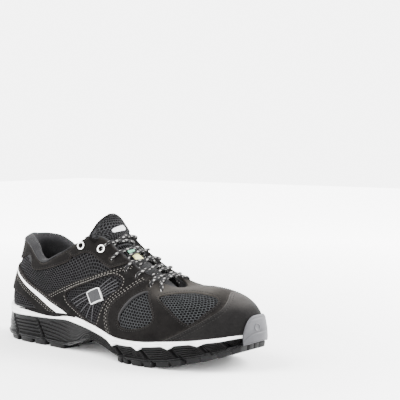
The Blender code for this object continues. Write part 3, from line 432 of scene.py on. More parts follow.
def groundHeight(x):
    along = np.clip(x / length, 0, 1)
    return shoe["archRise"] * sideCurves["arch"](along) + shoe["toeSpring"] * sideCurves["spring"](along)


def layerHeight(name, x):
    return shoe["soleHeight"] * sideCurves[name](np.clip(x / length, 0, 1))


planCurve = ClosedCurve(
    [(0.0, 0.0)] + [(a * length, -b * shoe["ballWidth"]) for a, b, _ in sole["plan"]]
    + [(length, shoe["toeOffset"] * shoe["ballWidth"])]
    + [(a * length, c * shoe["ballWidth"]) for a, _, c in sole["plan"][::-1]], 2)
planHalf = len(sole["plan"]) + 1


def planPoints(rows, inset=0.0, flare=0.0, room=0.0):
    # Points of the sole's edge at rows of the plan, moved inwards, with their inward directions.
    here = planCurve.at(rows)
    tangent = unit(planCurve.at(rows + 0.01) - planCurve.at(rows - 0.01))
    inward = np.column_stack([-tangent[:, 1], tangent[:, 0]])
    heel = np.maximum(0.0, 1.0 - here[:, 0] / shoe["heelFlareLength"]) ** 2
    toe = smoothStep(shoe["toeRoomStart"], shoe["toeRoomEnd"], here[:, 0] / length)
    return here + inward * (inset + flare * heel + room * toe)[:, None], inward


def upperEdge(rows, inset):
    # The sole's edge where the upper stands on it.
    return planPoints(rows, inset, shoe["heelFlare"], shoe["toeRoom"])[0]


def planRows(side, rows):
    return rows if side == "lateral" else 2 * planHalf - rows


def planSide(side, x, inset):
    # y of the sole's edge on one side at x.
    points, _ = planPoints(planRows(side, np.linspace(0, planHalf, 241)), inset)
    return np.interp(x, np.maximum.accumulate(points[:, 0]), points[:, 1])


soleEdge = planPoints(np.linspace(0, planHalf, 400))[0][:, 1].min()
originShift = Vector((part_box("outsole")[1].x - length,
        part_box("midsole_stripe")[0].y - soleEdge, 0))


def footPoint(side, share):
    points = upperEdge(planRows(side, np.linspace(0, planHalf, 161)), shoe["featherInset"])
    x = np.maximum.accumulate(points[:, 0])
    number = np.interp(points[0, 0] + share * (points[-1, 0] - points[0, 0]), x, np.arange(len(x)))
    return np.array([np.interp(number, np.arange(len(x)), points[:, k]) for k in (0, 1)])


def lastSection(row, side):
    foot, edge, out, inner, height, up, riseOut, riseUp, fallOut, fallDown = row
    height = shoe[height]
    place = footPoint(side, foot)
    low = np.array([*place, float(layerHeight("feather", place[0])) + shoe["gap"]])
    high = np.array([edge * length, sides[side] * (out if side == "lateral" else inner) * halfWidth,
            up * height])
    outward = unit((low - high) * (1, 1, 0))
    rise = low + outward * riseOut * halfWidth + (0, 0, riseUp * height)
    fall = high + outward * fallOut * halfWidth - (0, 0, fallDown * height)
    return [*low, *high, *rise, *fall]


lastCurve = ClosedCurve([lastSection(row, "lateral") for row in last["rows"]]
        + [lastSection(row, "medial") for row in last["rows"][-2:0:-1]], 6)


def surfacePoint(rows, shares):
    values = lastCurve.at(rows)
    low, high, rise, fall = (values[:, k:k + 3] for k in (0, 3, 6, 9))
    share = shares[:, None]
    back = 1 - share
    return back ** 3 * low + 3 * back ** 2 * share * rise + 3 * back * share ** 2 * fall + share ** 3 * high


def surfaceNormal(rows, shares, small=0.01):
    along = surfacePoint(rows + small, shares) - surfacePoint(rows - small, shares)
    up = surfacePoint(rows, np.minimum(shares + small, 1)) - surfacePoint(rows, np.maximum(shares - small, 0))
    return unit(np.cross(along, up))


# soft troughs and ridges of the upper: x, y, z of the middle, half length, half width, depth in mm,
# and the direction that the fold runs in, across the forefoot or along the quarter
creases = (
    ((222, 0, 66), 34, 4.5, 0.55, (0.15, 1.0, 0.0)), ((236, -4, 66), 30, 5.0, 0.40, (-0.10, 1.0, 0.0)),
    ((208, -37, 48), 16, 4.0, 0.45, (0.35, 0.4, 0.9)), ((208, 38, 48), 16, 4.0, 0.45, (0.35, -0.4, 0.9)),
    ((96, -34, 66), 22, 4.0, 0.50, (0.9, 0.0, 0.35)), ((78, 36, 62), 24, 4.5, 0.50, (0.9, 0.0, 0.25)),
    ((52, -31, 62), 16, 4.5, 0.55, (0.8, -0.2, -0.5)), ((48, 31, 60), 16, 4.5, 0.55, (0.8, 0.2, -0.5)),
    ((128, -33, 80), 18, 5.0, -0.45, (0.95, 0.0, 0.2)), ((126, 33, 80), 18, 5.0, -0.45, (0.95, 0.0, 0.2)),
)


def creaseDepth(points):
    depth = np.zeros(len(points))
    for centre, reach, width, deep, direction in creases:
        run = unit(np.array(direction))
        offset = points - np.array(centre) * mm
        along = offset @ run
        across = np.linalg.norm(offset - along[:, None] * run, axis=1)
        depth -= deep * mm * np.exp(-(along / (reach * mm)) ** 2 - (across / (width * mm)) ** 2)
    return depth


def lifted(rows, shares, distance, soft=True):
    # Points at a distance from the upper's surface, with its creases.
    rows, shares, distance = np.broadcast_arrays(*(np.atleast_1d(v) * 1.0 for v in (rows, shares, distance)))
    points = surfacePoint(rows, shares)
    return points + surfaceNormal(rows, shares) * (distance + (creaseDepth(points) if soft else 0))[:, None]


def normalAt(row, share):
    return surfaceNormal(np.array([row]), np.array([share]))[0]


def rowsAndShares(alongRow, upShare, offsets, damping=0.0):
    # How far in rows and in shares small offsets lie, by the surface's own two directions there.
    a, b, c = (alongRow ** 2).sum(1), (alongRow * upShare).sum(1), (upShare ** 2).sum(1)
    p, q = (alongRow * offsets).sum(1), (upShare * offsets).sum(1)
    a, c = a * (1 + damping) + damping * 5e-8, c * (1 + damping) + damping * 5e-8
    det = a * c - b * b
    return (c * p - b * q) / det, (a * q - b * p) / det


def surfaceSteps(rows, shares, small=0.004):
    here = surfacePoint(rows, shares)
    step = np.where(shares > 0.5, -small, small)
    return ((surfacePoint(rows + small, shares) - here) / small,
            (surfacePoint(rows, shares + step) - here) / step[:, None])


def moved(line, distance, closed=False):
    # A line on the upper moved sideways over the surface.
    rows, shares = line
    here = surfacePoint(rows, shares)
    tangent = np.roll(here, -1, axis=0) - np.roll(here, 1, axis=0) if closed else np.gradient(here, axis=0)
    across = np.cross(surfaceNormal(rows, shares), unit(tangent)) * np.reshape(distance, (-1, 1))
    byRow, byShare = rowsAndShares(*surfaceSteps(rows, shares), across)
    return rows + byRow, np.clip(shares + byShare, 0, 1)


def holeAt(row, share, radius, count=14):
    # Round hole in the upper; its loop of rows and shares.
    alongRow, upShare = surfaceSteps(np.array([row]), np.array([share]))
    first = unit(alongRow)
    second = np.cross(unit(np.cross(alongRow, upShare)), first)
    angles = circle(count)[:, None]
    offsets = radius * (np.cos(angles) * first + np.sin(angles) * second)
    byRow, byShare = rowsAndShares(alongRow, upShare, offsets)
    return row + byRow, share + byShare


def findOnUpper(places, side, weight=(1.0, 1.0, 1.0)):
    # Rows and shares of the surface points nearest to places, on one side or on both.
    places, weight = np.asarray(places, float), np.array(weight)
    low, high = {"lateral": (0.0, 17.0), "medial": (17.0, 34.0), "both": (0.0, 34.0)}[side]
    gridRows = np.repeat(np.linspace(low, high, int((high - low) * 4) + 1), 25)
    gridShares = np.tile(np.linspace(0, 1, 25), len(gridRows) // 25)
    grid = surfacePoint(gridRows, gridShares) * weight
    nearest = np.array([np.argmin(((grid - place * weight) ** 2).sum(axis=1)) for place in places])
    rows, shares = gridRows[nearest], gridShares[nearest]
    small = 0.004
    for _ in range(10):
        here = surfacePoint(rows, shares) * weight
        byRow, byShare = rowsAndShares((surfacePoint(rows + small, shares) * weight - here) / small,
                (surfacePoint(rows, shares + small) * weight - here) / small,
                places * weight - here, 0.002)
        rows = rows + np.clip(byRow, -0.6, 0.6)
        shares = np.clip(shares + np.clip(byShare, -0.15, 0.15), 0, 1)
        rows = np.clip(rows, low, high) if side != "both" else rows
    return rows, shares


# Meshes

# merge distance, size of slivers that go, and whether the faces are turned outwards
cleaning = {"shell": (1e-6, 0.0, True), "panel": (1e-5, 1e-7, False), "plate": (5e-6, 1e-6, True),
        "lugs": (2e-6, 0.0, True)}


def makePiece(name, points, faces, material, slot=None, replaces=(), clean=None, attributes=None, uv=None):
    # Mesh object in the frame's place, riding on the shoe's one body.
    mesh = bpy.data.meshes.new(name)
    shifted = np.asarray(points, float) + np.array(originShift)
    mesh.from_pydata([tuple(p) for p in shifted], [], [tuple(int(i) for i in f) for f in faces])
    for key, values in (attributes or {}).items():
        layer = mesh.attributes.new(key, "FLOAT", "POINT")
        layer.data.foreach_set("value", np.asarray(values, np.float32))
    if uv is not None:
        corner = np.zeros(len(mesh.loops), int)
        mesh.loops.foreach_get("vertex_index", corner)
        mesh.uv_layers.new(name="braid").data.foreach_set("uv", np.asarray(uv, float)[corner].ravel())
    mesh.materials.append(material)
    mesh.polygons.foreach_set("use_smooth", [True] * len(mesh.polygons))
    mesh.update()
    if clean:
        cleanMesh(mesh, *cleaning[clean])
    return finishPiece(newObject(name, mesh), replaces)


def cleanMesh(mesh, merge, sliver, outward):
    shape = bmesh.new()
    shape.from_mesh(mesh)
    bmesh.ops.remove_doubles(shape, verts=shape.verts, dist=merge)
    if sliver:
        bmesh.ops.dissolve_degenerate(shape, dist=sliver, edges=shape.edges)
    if outward:
        bmesh.ops.recalc_face_normals(shape, faces=shape.faces)
    shape.to_mesh(mesh)
    shape.free()


def finishPiece(thing, replaces=()):
    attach(thing, "root")
    if replaces:
        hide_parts(*replaces)
    return thing


def gridFaces(levels, count, closedLevels=False, flip=False):
    faces = []
    for level in range(levels if closedLevels else levels - 1):
        low, high = level * count, (level + 1) % levels * count
        for i in range(count):
            j = (i + 1) % count
            face = (low + i, low + j, high + j, high + i)
            faces.append(face[::-1] if flip else face)
    return faces


def endFaces(levels, count):
    return [tuple(range(count)), tuple(range(levels * count - 1, (levels - 1) * count - 1, -1))]


def acrossRing(base, count):
    # Faces across a ring whose point i lies opposite point count - i.
    faces = []
    for i in range(count // 2):
        near, far = (count - i) % count, count - i - 1
        faces.append(tuple(dict.fromkeys((base + i, base + i + 1, base + far, base + near))))
    return faces


def ringPiece(name, loops, material, slot, replaces=(), ends="flat", attributes=None):
    # Rings skinned in order; the ends are one face each, faces across the ring, or joined to each other.
    loops = np.asarray(loops)
    levels, count = loops.shape[:2]
    faces = gridFaces(levels, count, closedLevels=ends == "joined")
    if ends == "flat":
        faces += endFaces(levels, count)
    elif ends == "across":
        faces += acrossRing(0, count) + acrossRing((levels - 1) * count, count)
    return makePiece(name, loops.reshape(-1, 3), faces, material, slot, replaces, "shell", attributes)


def splineThrough(points, spacing, closed=False):
    # Smooth curve through a few points, as even steps.
    points = np.asarray(points, float)
    if closed:
        points = np.vstack([points, points[:1]])
    gap = np.linalg.norm(np.diff(points, axis=0), axis=1)
    knots = np.concatenate([[0], np.cumsum(np.maximum(gap, 1e-6))])
    count = len(points)
    slope = np.zeros(points.shape)
    for i in range(count):
        before, after = max(i - 1, 0), min(i + 1, count - 1)
        slope[i] = (points[after] - points[before]) / (knots[after] - knots[before])
    if closed:
        slope[0] = slope[-1] = (points[1] - points[-2]) / (gap[0] + gap[-1])
    where = np.linspace(0, knots[-1], max(2, int(round(knots[-1] / spacing))) + 1)
    i = np.clip(np.searchsorted(knots, where, side="right") - 1, 0, count - 2)
    width = (knots[i + 1] - knots[i])[:, None]
    result = cubic((where - knots[i])[:, None] / width, width, points[i], points[i + 1], slope[i],
            slope[i + 1])
    return result[:-1] if closed else result


def evenSteps(rows, shares, spacing, closed=False):
    # The same line on the upper, in even steps of real length.
    if closed:
        rows, shares = np.append(rows, rows[0]), np.append(shares, shares[0])
    at = runAlong(surfacePoint(rows, shares))
    where = np.linspace(0, at[-1], max(3, int(round(at[-1] / spacing))) + 1)
    rows, shares = np.interp(where, at, rows), np.interp(where, at, shares)
    return (rows[:-1], shares[:-1]) if closed else (rows, shares)


def fromTheSide(points, side):
    # Rows and shares of (x, z) in mm as seen from one side.
    places = np.column_stack([points[:, 0] * mm, np.full(len(points), sides[side] * 0.040),
            points[:, 1] * mm])
    return findOnUpper(places, side, (1.0, 0.004, 1.0))


def sideLine(points, side, spacing=1.2 * mm):
    # A line given as (x, z) in mm, laid on the upper of one side.
    return evenSteps(*fromTheSide(splineThrough(points, 2.0), side), spacing)


def insideLoop(points, loop):
    # Even-odd test of 2-D points against a closed loop.
    x, y = points[:, 0][:, None], points[:, 1][:, None]
    ax, ay = loop[:, 0][None], loop[:, 1][None]
    bx, by = np.roll(loop[:, 0], -1)[None], np.roll(loop[:, 1], -1)[None]
    with np.errstate(divide="ignore", invalid="ignore"):
        where = ax + (y - ay) / np.where(by == ay, 1e-12, by - ay) * (bx - ax)
    return (((ay > y) != (by > y)) & (x < where)).sum(axis=1) % 2 == 1


def insidePanel(points, loops):
    # Inside the first loop and outside the others, which are its holes.
    keep = insideLoop(points, loops[0])
    for hole in loops[1:]:
        keep &= ~insideLoop(points, hole)
    return keep


def gapTo(line, points):
    return np.array([np.sqrt(((line - p) ** 2).sum(axis=1).min()) for p in points])


rowScale, shareScale = 22.0, 75.0     # mm of upper for one row and for the whole share


def flat(rows, shares):
    return np.column_stack([np.asarray(rows) * rowScale, np.asarray(shares) * shareScale])


def turnsLeft(loop):
    ahead = np.roll(loop, -1, axis=0)
    return (loop[:, 0] * ahead[:, 1] - ahead[:, 0] * loop[:, 1]).sum() > 0


def triangulated(loops, extra=None, scale=1.0):
    # Points and triangles between the first loop and its holes; the triangles turn left.
    vertices = np.vstack(loops if extra is None else loops + [extra]) * scale
    edges, at = [], 0
    for loop in loops:
        edges += [(at + i, at + (i + 1) % len(loop)) for i in range(len(loop))]
        at += len(loop)
    placed, _, triangles, _, _, _ = delaunay_2d_cdt([Vector(v) for v in vertices], edges, [], 0, 1e-5)
    placed, triangles = np.array([tuple(v) for v in placed]) / scale, np.array([tuple(t) for t in triangles])
    triangles = triangles[insidePanel(placed[triangles].mean(axis=1), loops)]
    return placed, [(a, b, c) if np.cross(placed[b] - placed[a], placed[c] - placed[a]) > 0 else (a, c, b)
            for a, b, c in triangles]


panelShape = {"rim": 0.00042, "interior": 3.0, "channel": 0.00022, "channelWidth": 0.0007, "tuck": 0.0011}


def panelMesh(name, loops, material, slot, replaces=(), thickness=shoe["panel"], base=shoe["gap"],
        channels=(), wearAndPaintedHighlight=None):
    # Skin piece on the upper: loops[0] is its edge, the others are holes. Rounded raw edges, and a
    # soft trough along each stitch line.
    rim = min(panelShape["rim"], thickness * 0.45)
    profile = ((0.0, -panelShape["tuck"]), (0.0, thickness - rim), (0.29 * rim, thickness - 0.29 * rim),
            (rim, thickness))
    points, faces, worns, flats = [], [], [], []
    for number, line in enumerate(loops):
        left, outer = turnsLeft(flat(*line)), number == 0
        inward = 1 if left == outer else -1
        start = len(points)
        for inset, rise in profile:
            ring = moved(line, inset * inward, closed=True) if inset else line
            points += list(lifted(*ring, base + rise))
            worns += [1.0 if rise > 0 else 0.3] * len(line[0])
        faces += [tuple(start + k for k in f) for f in gridFaces(len(profile), len(line[0]),
                flip=left != outer)]
        flats.append(flat(*ring))
    # the top: a staggered grid of points and the lines of the stitch troughs
    low, high = flats[0].min(axis=0), flats[0].max(axis=0)
    step = panelShape["interior"]
    gx, gy = np.meshgrid(np.arange(low[0] + step / 2, high[0], step),
            np.arange(low[1] + step / 2, high[1], step * 0.8))
    gx = gx + (np.arange(gx.shape[0]) % 2)[:, None] * step / 2
    extra = [np.column_stack([gx.ravel(), gy.ravel()])]
    for line in channels:
        extra += [flat(*line)[1:-1]] + [flat(*moved(line, shift * panelShape["channelWidth"],
                closed=True))[1:-1]
                for shift in (-1, 1)]
    extra = np.vstack(extra)
    extra = extra[insidePanel(extra, flats)]
    edge = np.vstack([surfacePoint(*line) for line in loops])
    onUpper = lambda places: (places[:, 0] / rowScale, places[:, 1] / shareScale)
    if len(extra):
        extra = extra[gapTo(edge, surfacePoint(*onUpper(extra))) > rim + 0.35 * mm]
    placed, triangles = triangulated(flats, extra)
    middle = surfacePoint(*onUpper(placed))
    rise = np.full(len(placed), base + thickness)
    for line in channels:
        rise -= panelShape["channel"] * np.exp(
            -(gapTo(surfacePoint(*line), middle) / panelShape["channelWidth"]) ** 2)
    start = len(points)
    points = np.vstack([points, lifted(*onUpper(placed), rise)])
    worns = np.append(worns, np.clip(1.0 - gapTo(edge, middle) / (0.9 * mm), 0, 1))
    faces += [tuple(start + int(i) for i in f) for f in triangles]
    # the mask is paler raw edges on every panel; a given function adds a painted highlight to it
    return makePiece(name, points, faces, material, slot, replaces, "panel",
            {"wearAndPaintedHighlight": wearAndPaintedHighlight(points, worns) if wearAndPaintedHighlight else worns * 0.35})


# Camera first, then the materials that the pieces share

makeCamera(originShift)
makeStudio()
print("camera and studio ready")

blackNubuck = nubuckMaterial("nubuckBlack", nubuck["dark"], nubuck["light"], wearAndPaintedHighlight=(0.017, 0.0155, 0.015))
brownNubuck = nubuckMaterial("nubuckBrown", (0.0015, 0.0013, 0.0013), (0.0038, 0.0034, 0.0032),
        wearAndPaintedHighlight=(0.029, 0.0265, 0.0238))
toeNubuck = nubuckMaterial("nubuckToe", (0.0018, 0.0017, 0.0017), (0.0044, 0.0041, 0.0040),
        wearAndPaintedHighlight=(0.046, 0.043, 0.041), gloss=0.07)
airMesh = meshMaterial()
liningKnit = knitMaterial("liningKnit", (0.0042, 0.0042, 0.0045), (0.0165, 0.0162, 0.0172))
insoleKnit = knitMaterial("insoleKnit", (0.0030, 0.0030, 0.0033), (0.012, 0.012, 0.013), 700.0)
tongueKnit = knitMaterial("tongueKnit", (0.0035, 0.0035, 0.0037), (0.015, 0.015, 0.016), 620.0)
beigeThread = threadMaterial("beigeThread", (0.045, 0.0425, 0.038), (0.105, 0.100, 0.091))
blackThread = threadMaterial("blackThread", (0.0022, 0.0021, 0.0020), (0.0078, 0.0073, 0.0070))
whiteFoam = rubberMaterial("whiteFoam", (0.50, 0.50, 0.495), (0.68, 0.68, 0.675), 0.55)
darkFoam = rubberMaterial("darkFoam", (0.0018, 0.0017, 0.0018), (0.0040, 0.0039, 0.0040), 0.36, gloss=0.07)
greyRubber = rubberMaterial("greyRubber", (0.0030, 0.0030, 0.0031), (0.0064, 0.0063, 0.0066), 0.38,
        gloss=0.08)
bumperRubber = rubberMaterial("bumperRubber", (0.038, 0.038, 0.041), (0.060, 0.060, 0.064), 0.50)
shankPlastic = rubberMaterial("shankPlastic", (0.0025, 0.0025, 0.0028), (0.0050, 0.0050, 0.0055), 0.25, 0.3)
ringPlastic = rubberMaterial("ringPlastic", (0.74, 0.74, 0.73), (0.86, 0.86, 0.85), 0.35, 0.2)
pipingGrey = threadMaterial("pipingGrey", (0.016, 0.016, 0.017), (0.042, 0.042, 0.044))
lipGrey = threadMaterial("lipGrey", (0.0050, 0.0050, 0.0052), (0.0150, 0.0150, 0.0155))
laceBraid = laceMaterial()


# Lines of the photograph's side, x and z in mm from the heel; both sides wear the same cut

cut = {
    "saddle": ((75.4, 48.6), (84.6, 51.8), (96.9, 57.4), (115.2, 65.0), (132.6, 70.8), (148.2, 76.2),
        (161, 80.1), (172.1, 82.9), (186, 84.6)),
    "ring": ((194, 71.5), (191.3, 69), (181.5, 60), (171.9, 52), (168.9, 44.6), (169.5, 37.1), (173.3, 28.6),
        (178.7, 20.0)),
    "counterTop": ((113.1, 36.2), (91.9, 45.4), (75.4, 51.9), (57.1, 59.1), (40.8, 67.4), (26.5, 72.8),
        (8, 76.6), (-6, 77.4)),
    "counterLow": ((-6, 51.6), (10, 51.2), (21.4, 50.3), (30.5, 49.4), (41.9, 46.6), (54.9, 41.9),
        (63.5, 36.5), (68.5, 29.0), (70.5, 18)),
    "collarLow": ((103.0, 99.0), (102.6, 93.0), (106.5, 90.0), (107.6, 87.7), (104.5, 84.4), (98.8, 81.4),
        (80.6, 75.8), (65, 72.4), (57, 72.6), (53, 76.0), (52.0, 82.6), (46.9, 86.2), (31.4, 80.9),
        (18, 79.6), (-6, 80.0)),
    "eyestayLow": ((101.5, 98.5), (104.8, 92.3), (110.0, 88.0), (118.5, 91.8), (125.2, 93.1), (132.2, 91.9),
        (139.8, 88.1), (155.2, 80.7), (163.5, 82.8), (175, 86.5)),
    "quarterWindow": ((106.7, 54.0), (111.5, 56.9), (123.5, 62.1), (137.6, 67.0), (149.7, 72.2), (159, 74.4),
        (167.2, 73.7), (173.6, 70.3), (174, 64.8), (166.1, 58), (160.9, 50.2), (157.6, 42.5),
        (154.0, 32.7), (150.2, 30.2), (139.5, 32.5), (125.5, 39.5), (110.4, 47.3)),
    "ringWindow": ((203.4, 63.4), (194.3, 58.9), (187.5, 51.1), (183.2, 42.2), (185.7, 34.1), (193.2, 31.6),
        (206.5, 32.7), (219.2, 36.8), (223.3, 41.8), (218.3, 49.4), (209.4, 57.3)),
    "vampWindow": ((218.4, 59.7), (230.1, 63.1), (243.1, 64.5), (259.7, 63.5), (270.0, 61.0), (273.0, 56.9),
        (268, 49.2), (259.1, 40.9), (251.8, 43.1), (238.5, 50.1), (228.8, 54.5)),
    "whiteLine": ((117, 29.0), (108, 32.6), (99, 36.2), (86.5, 40.9), (71.7, 47.9), (53.2, 56), (40.7, 61.9),
        (26.7, 68.4), (18, 71.4)),
    "toeLine": ((231.5, -51.3, 22.5), (237, -49.8, 26.2), (248.3, -46.8, 31.7), (259.7, -41.6, 38.2),
        (270.8, -33.5, 45.8), (278.6, -24.5, 53.3), (278.8, -14.5, 59.6), (274.0, -4.0, 63.6),
        (272.4, 3.0, 64.6)),
    "upperMesh": ((4, 82), (30, 80), (57, 71), (66, 71.5), (81, 75), (100, 81), (110, 87), (118, 91),
        (126, 92), (139, 88), (155, 80), (166, 83), (175, 85), (172, 83), (148, 76), (132, 71), (115, 65),
        (96, 57), (84, 52), (75, 52), (57, 59), (40, 67), (26, 73), (4, 76)),
    "heelMesh": ((0, 51), (21, 50), (42, 47), (55, 42), (66, 33), (70, 25), (70, 20), (-8, 20), (-8, 51)),
}
eyelets = {
    "lateral": ((118.1, 99.0), (141, 96.8), (154, 87.8), (171.7, 78.5), (183.9, 74.0), (202.1, 67.0),
        (215.3, 64.2)),
    "medial": ((118.1, 98.1), (139.1, 95.4), (154.9, 91.6), (169.3, 82.0), (180.6, 76.8), (194.6, 71.7),
        (207.4, 67.6)),
    "hole": 1.75, "ringHole": 2.6, "ring": 3.3, "wire": 0.62,
}


def closedLoop(*strokes):
    # Strokes end to end; a word between two of them runs along the foot (share 0) or the edge (1).
    rows, shares = [], []
    for i, stroke in enumerate(strokes):
        if isinstance(stroke, str):
            start, end = strokes[i - 1][0][-1], strokes[(i + 1) % len(strokes)][0][0]
            count = max(2, int(abs(end - start) * 14))
            stroke = np.linspace(start, end, count + 2)[1:-1], [{"foot": 0.0, "edge": 1.0}[stroke]] * count
        rows += list(stroke[0])
        shares += list(stroke[1])
    rows, shares = np.array(rows), np.array(shares)
    here = surfacePoint(rows, shares)
    keep = np.linalg.norm(here - np.roll(here, 1, axis=0), axis=1) > 0.25 * mm
    return rows[keep], shares[keep]


def backward(line):
    return line[0][::-1], line[1][::-1]


def falling(line):
    return backward(line) if line[0][0] < line[0][-1] else line


def roundHeel(name, spacing=1.2 * mm):
    # A line of one side carried round the heel to the other side, from lateral front to medial front.
    rows, shares = falling(sideLine(cut[name], "lateral", spacing))
    medialRows, medialShares = falling(sideLine(cut[name], "medial", spacing))
    medialRows = medialRows - last["rowCount"]
    ahead, behind = rows > 0.12, medialRows < -0.12
    return evenSteps(np.concatenate([rows[ahead], medialRows[behind]]),
            np.concatenate([shares[ahead], medialShares[behind]]), spacing)


def overToe(points):
    lateral = np.array(points, float) * mm
    medial = lateral[-2::-1] * (1, -1, 1) + (0, 6 * mm, 0)
    medial[:, 1] -= np.linspace(0, 4 * mm, len(medial))
    curve = splineThrough(np.vstack([lateral, medial]), 1.5 * mm)
    return evenSteps(*findOnUpper(curve, "both"), 1.2 * mm)


def eyeletPlaces(side):
    places = [(x * mm, sides[side] * 0.026, z * mm) for x, z in eyelets[side]]
    rows, shares = findOnUpper(places, side, (1.0, 0.01, 1.0))
    return list(zip(rows, np.minimum(shares, 0.955)))


eyeletAt = {side: eyeletPlaces(side) for side in sides}
print("eyelet places found")


# The mesh upper: real wall, pitted air mesh where it shows

mesh = {"around": 196, "up": 27, "hole": 0.76, "floor": 0.66, "depth": 0.00110, "crown": 0.00014}


def visibleMesh(points):
    # Which points lie in or near a part of the mesh that no panel covers.
    flatPoints = points[:, (0, 2)] / mm
    shows = np.zeros(len(points), bool)
    for name in ("upperMesh", "heelMesh", "quarterWindow", "ringWindow", "vampWindow"):
        loop = np.array(cut[name], float)
        shows |= gapTo(splineThrough(loop, 2.0, closed=True), flatPoints) < 6.0
        shows |= insideLoop(flatPoints, loop)
    return shows


def pittedMesh(place, around, levels, shows, closed=True):
    # Air mesh as a staggered lattice of cells with deep holes; place(h, v, rise) gives points on a skin
    # at half-cell h and level v, and shows(points, centres) says which cells get their hole.
    width = around * 2 if closed else around * 2 + 2
    h, v = (grid.ravel() for grid in np.meshgrid(np.arange(width), np.arange(levels + 1)))
    points, depth, faces = list(place(h, v, 0.0)), [0.0] * len(h), []
    j, i = (grid.ravel() for grid in np.meshgrid(np.arange(levels), np.arange(around), indexing="ij"))
    centres = np.column_stack([2 * i + j % 2 + 1, j + 0.5])
    visible = shows(place(centres[:, 0], centres[:, 1], 0.0), centres)
    shape = np.array(((-0.72, -0.78), (0, -1), (0.72, -0.78), (0.72, 0.78), (0, 1), (-0.72, 0.78)))
    rims = []
    for scale, sink in ((mesh["hole"] * 1.12, mesh["crown"]), (mesh["hole"], -0.1 * mm),
            (mesh["floor"], -mesh["depth"])):
        spots = (centres[:, None] + shape[None] * (scale * 1.42, scale * 0.57)).reshape(-1, 2)
        rims.append(place(spots[:, 0], spots[:, 1], sink).reshape(-1, 6, 3))
    for number, centre in enumerate(centres):
        left, low = int(centre[0]) - 1, int(centre[1])
        outline = [(low + up) * width + (left + side) % width
                for side, up in ((0, 0), (1, 0), (2, 0), (2, 1), (1, 1), (0, 1))]
        if not visible[number]:
            faces.append(outline)
            continue
        rings = [outline]
        # each ring down a hole carries more painted shade: a little on the crown, more on the wall, black on
        # the floor
        for rim, dark in zip(rims, (0.05, 0.30, 1.0)):
            rings.append(list(range(len(points), len(points) + 6)))
            points += list(rim[number])
            depth += [dark] * 6
        for lower, upper in zip(rings[:-1], rings[1:]):
            faces += [(lower[k], lower[(k + 1) % 6], upper[(k + 1) % 6], upper[k]) for k in range(6)]
        faces.append(tuple(rings[-1]))
    return np.array(points), np.array(depth), faces


def makeUpper():
    evenRows = np.linspace(0, last["rowCount"], 1361)
    run = runAlong(surfacePoint(evenRows, np.full(len(evenRows), 0.42)))
    halves, levels = mesh["around"] * 2, mesh["up"]
    rowOf = np.interp(np.linspace(0, run[-1], halves + 1), run, evenRows)

    def place(h, v, rise):
        rows = np.interp(np.mod(h, halves), np.arange(halves + 1), rowOf)
        return lifted(rows, np.clip(v / levels, 0, 1), rise)

    points, depth, faces = pittedMesh(place, mesh["around"], levels,
            lambda at, centres: visibleMesh(at) & (centres[:, 1] > 0.6))
    # the mesh is pressed in under the eyelets and painted black there, as shade in the eyelet holes
    for places in eyeletAt.values():
        for number, (row, share) in enumerate(places):
            reach = (2.7 if number < 2 else 2.3) * mm
            near = np.linalg.norm(points - lifted(row, share, 0, soft=False), axis=1) < reach
            points[near] -= normalAt(row, share) * 0.0011
            depth[near] = 1.0
    for sign in sides.values():     # darker yarn in the quarter windows
        inside = insideLoop(points[:, (0, 2)] / mm, np.array(cut["quarterWindow"])) & (points[:,
                1] * sign > 0)
        depth[inside] = np.maximum(depth[inside], 0.27)
    zone = 1.0 / (1.0 + np.exp(-(points[:, 0] - 0.177) / (0.6 * mm)))
    makePiece("upperMesh", points, faces, airMesh, "mesh", ("upper",),
            attributes={"depth": depth, "zone": zone})
    # inner skin, from its turned-in foot to its top edge
    columns = 204
    rows, wall = np.linspace(0, last["rowCount"], columns, endpoint=False), shoe["wall"]
    loops = [lifted(rows, 0.0, 0.0)] + [lifted(rows, share, -wall) for share in np.linspace(0, 1, 15)]
    loops += [lifted(rows, 1.0, -0.5 * wall) + (0, 0, 0.4 * mm), lifted(rows, 1.0, -0.02 * mm)]
    makePiece("upperLining", np.vstack(loops), gridFaces(len(loops), columns, flip=True), liningKnit,
            "lining", ("upper",))


makeUpper()
print("upper made")


# Nubuck panels

def windowLoop(name, side):
    points = splineThrough(cut[name], 1.6, closed=True)
    return evenSteps(*fromTheSide(points, side), 1.2 * mm, closed=True)


def within(line, loops):
    # The part of a line that lies on a panel.
    keep = insidePanel(flat(*line), [flat(*loop) for loop in loops])
    return line[0][keep], line[1][keep]


def endAtEdge(line, low=0.0):
    # Keeps the part of a line before it runs along the clamped edge.
    keep = (line[1] < 0.996) & (line[1] > low + 0.004)
    return line[0][keep], line[1][keep]


def windowSeam(window, away):
    # A line round a window on the panel's side of it.
    around = tuple(np.append(values, values[:1]) for values in window)
    return moved(around, (-away if turnsLeft(flat(*window)) else away) * mm)


def seamBeside(line, loop, away):
    # A line's copy on whichever side of it the panel lies.
    both = [within(moved(line, sign * away * mm), [loop]) for sign in (-1, 1)]
    return max(both, key=lambda seam: len(seam[0]))


panelTop = shoe["gap"] + shoe["panel"]
seams = {"beige": [], "black": [], "white": [], "collar": []}
saddle = {side: endAtEdge(sideLine(cut["saddle"], side)) for side in sides}
ringLine = {side: endAtEdge(sideLine(cut["ring"], side)) for side in sides}
toeLine = backward(falling(overToe(cut["toeLine"])))
windows = {(name, side): windowLoop(name, side) for name in ("quarterWindow", "ringWindow", "vampWindow")
        for side in sides}


def eyeletHoles(side, numbers, size="hole"):
    return [holeAt(*eyeletAt[side][k], eyelets[size] * mm) for k in numbers]


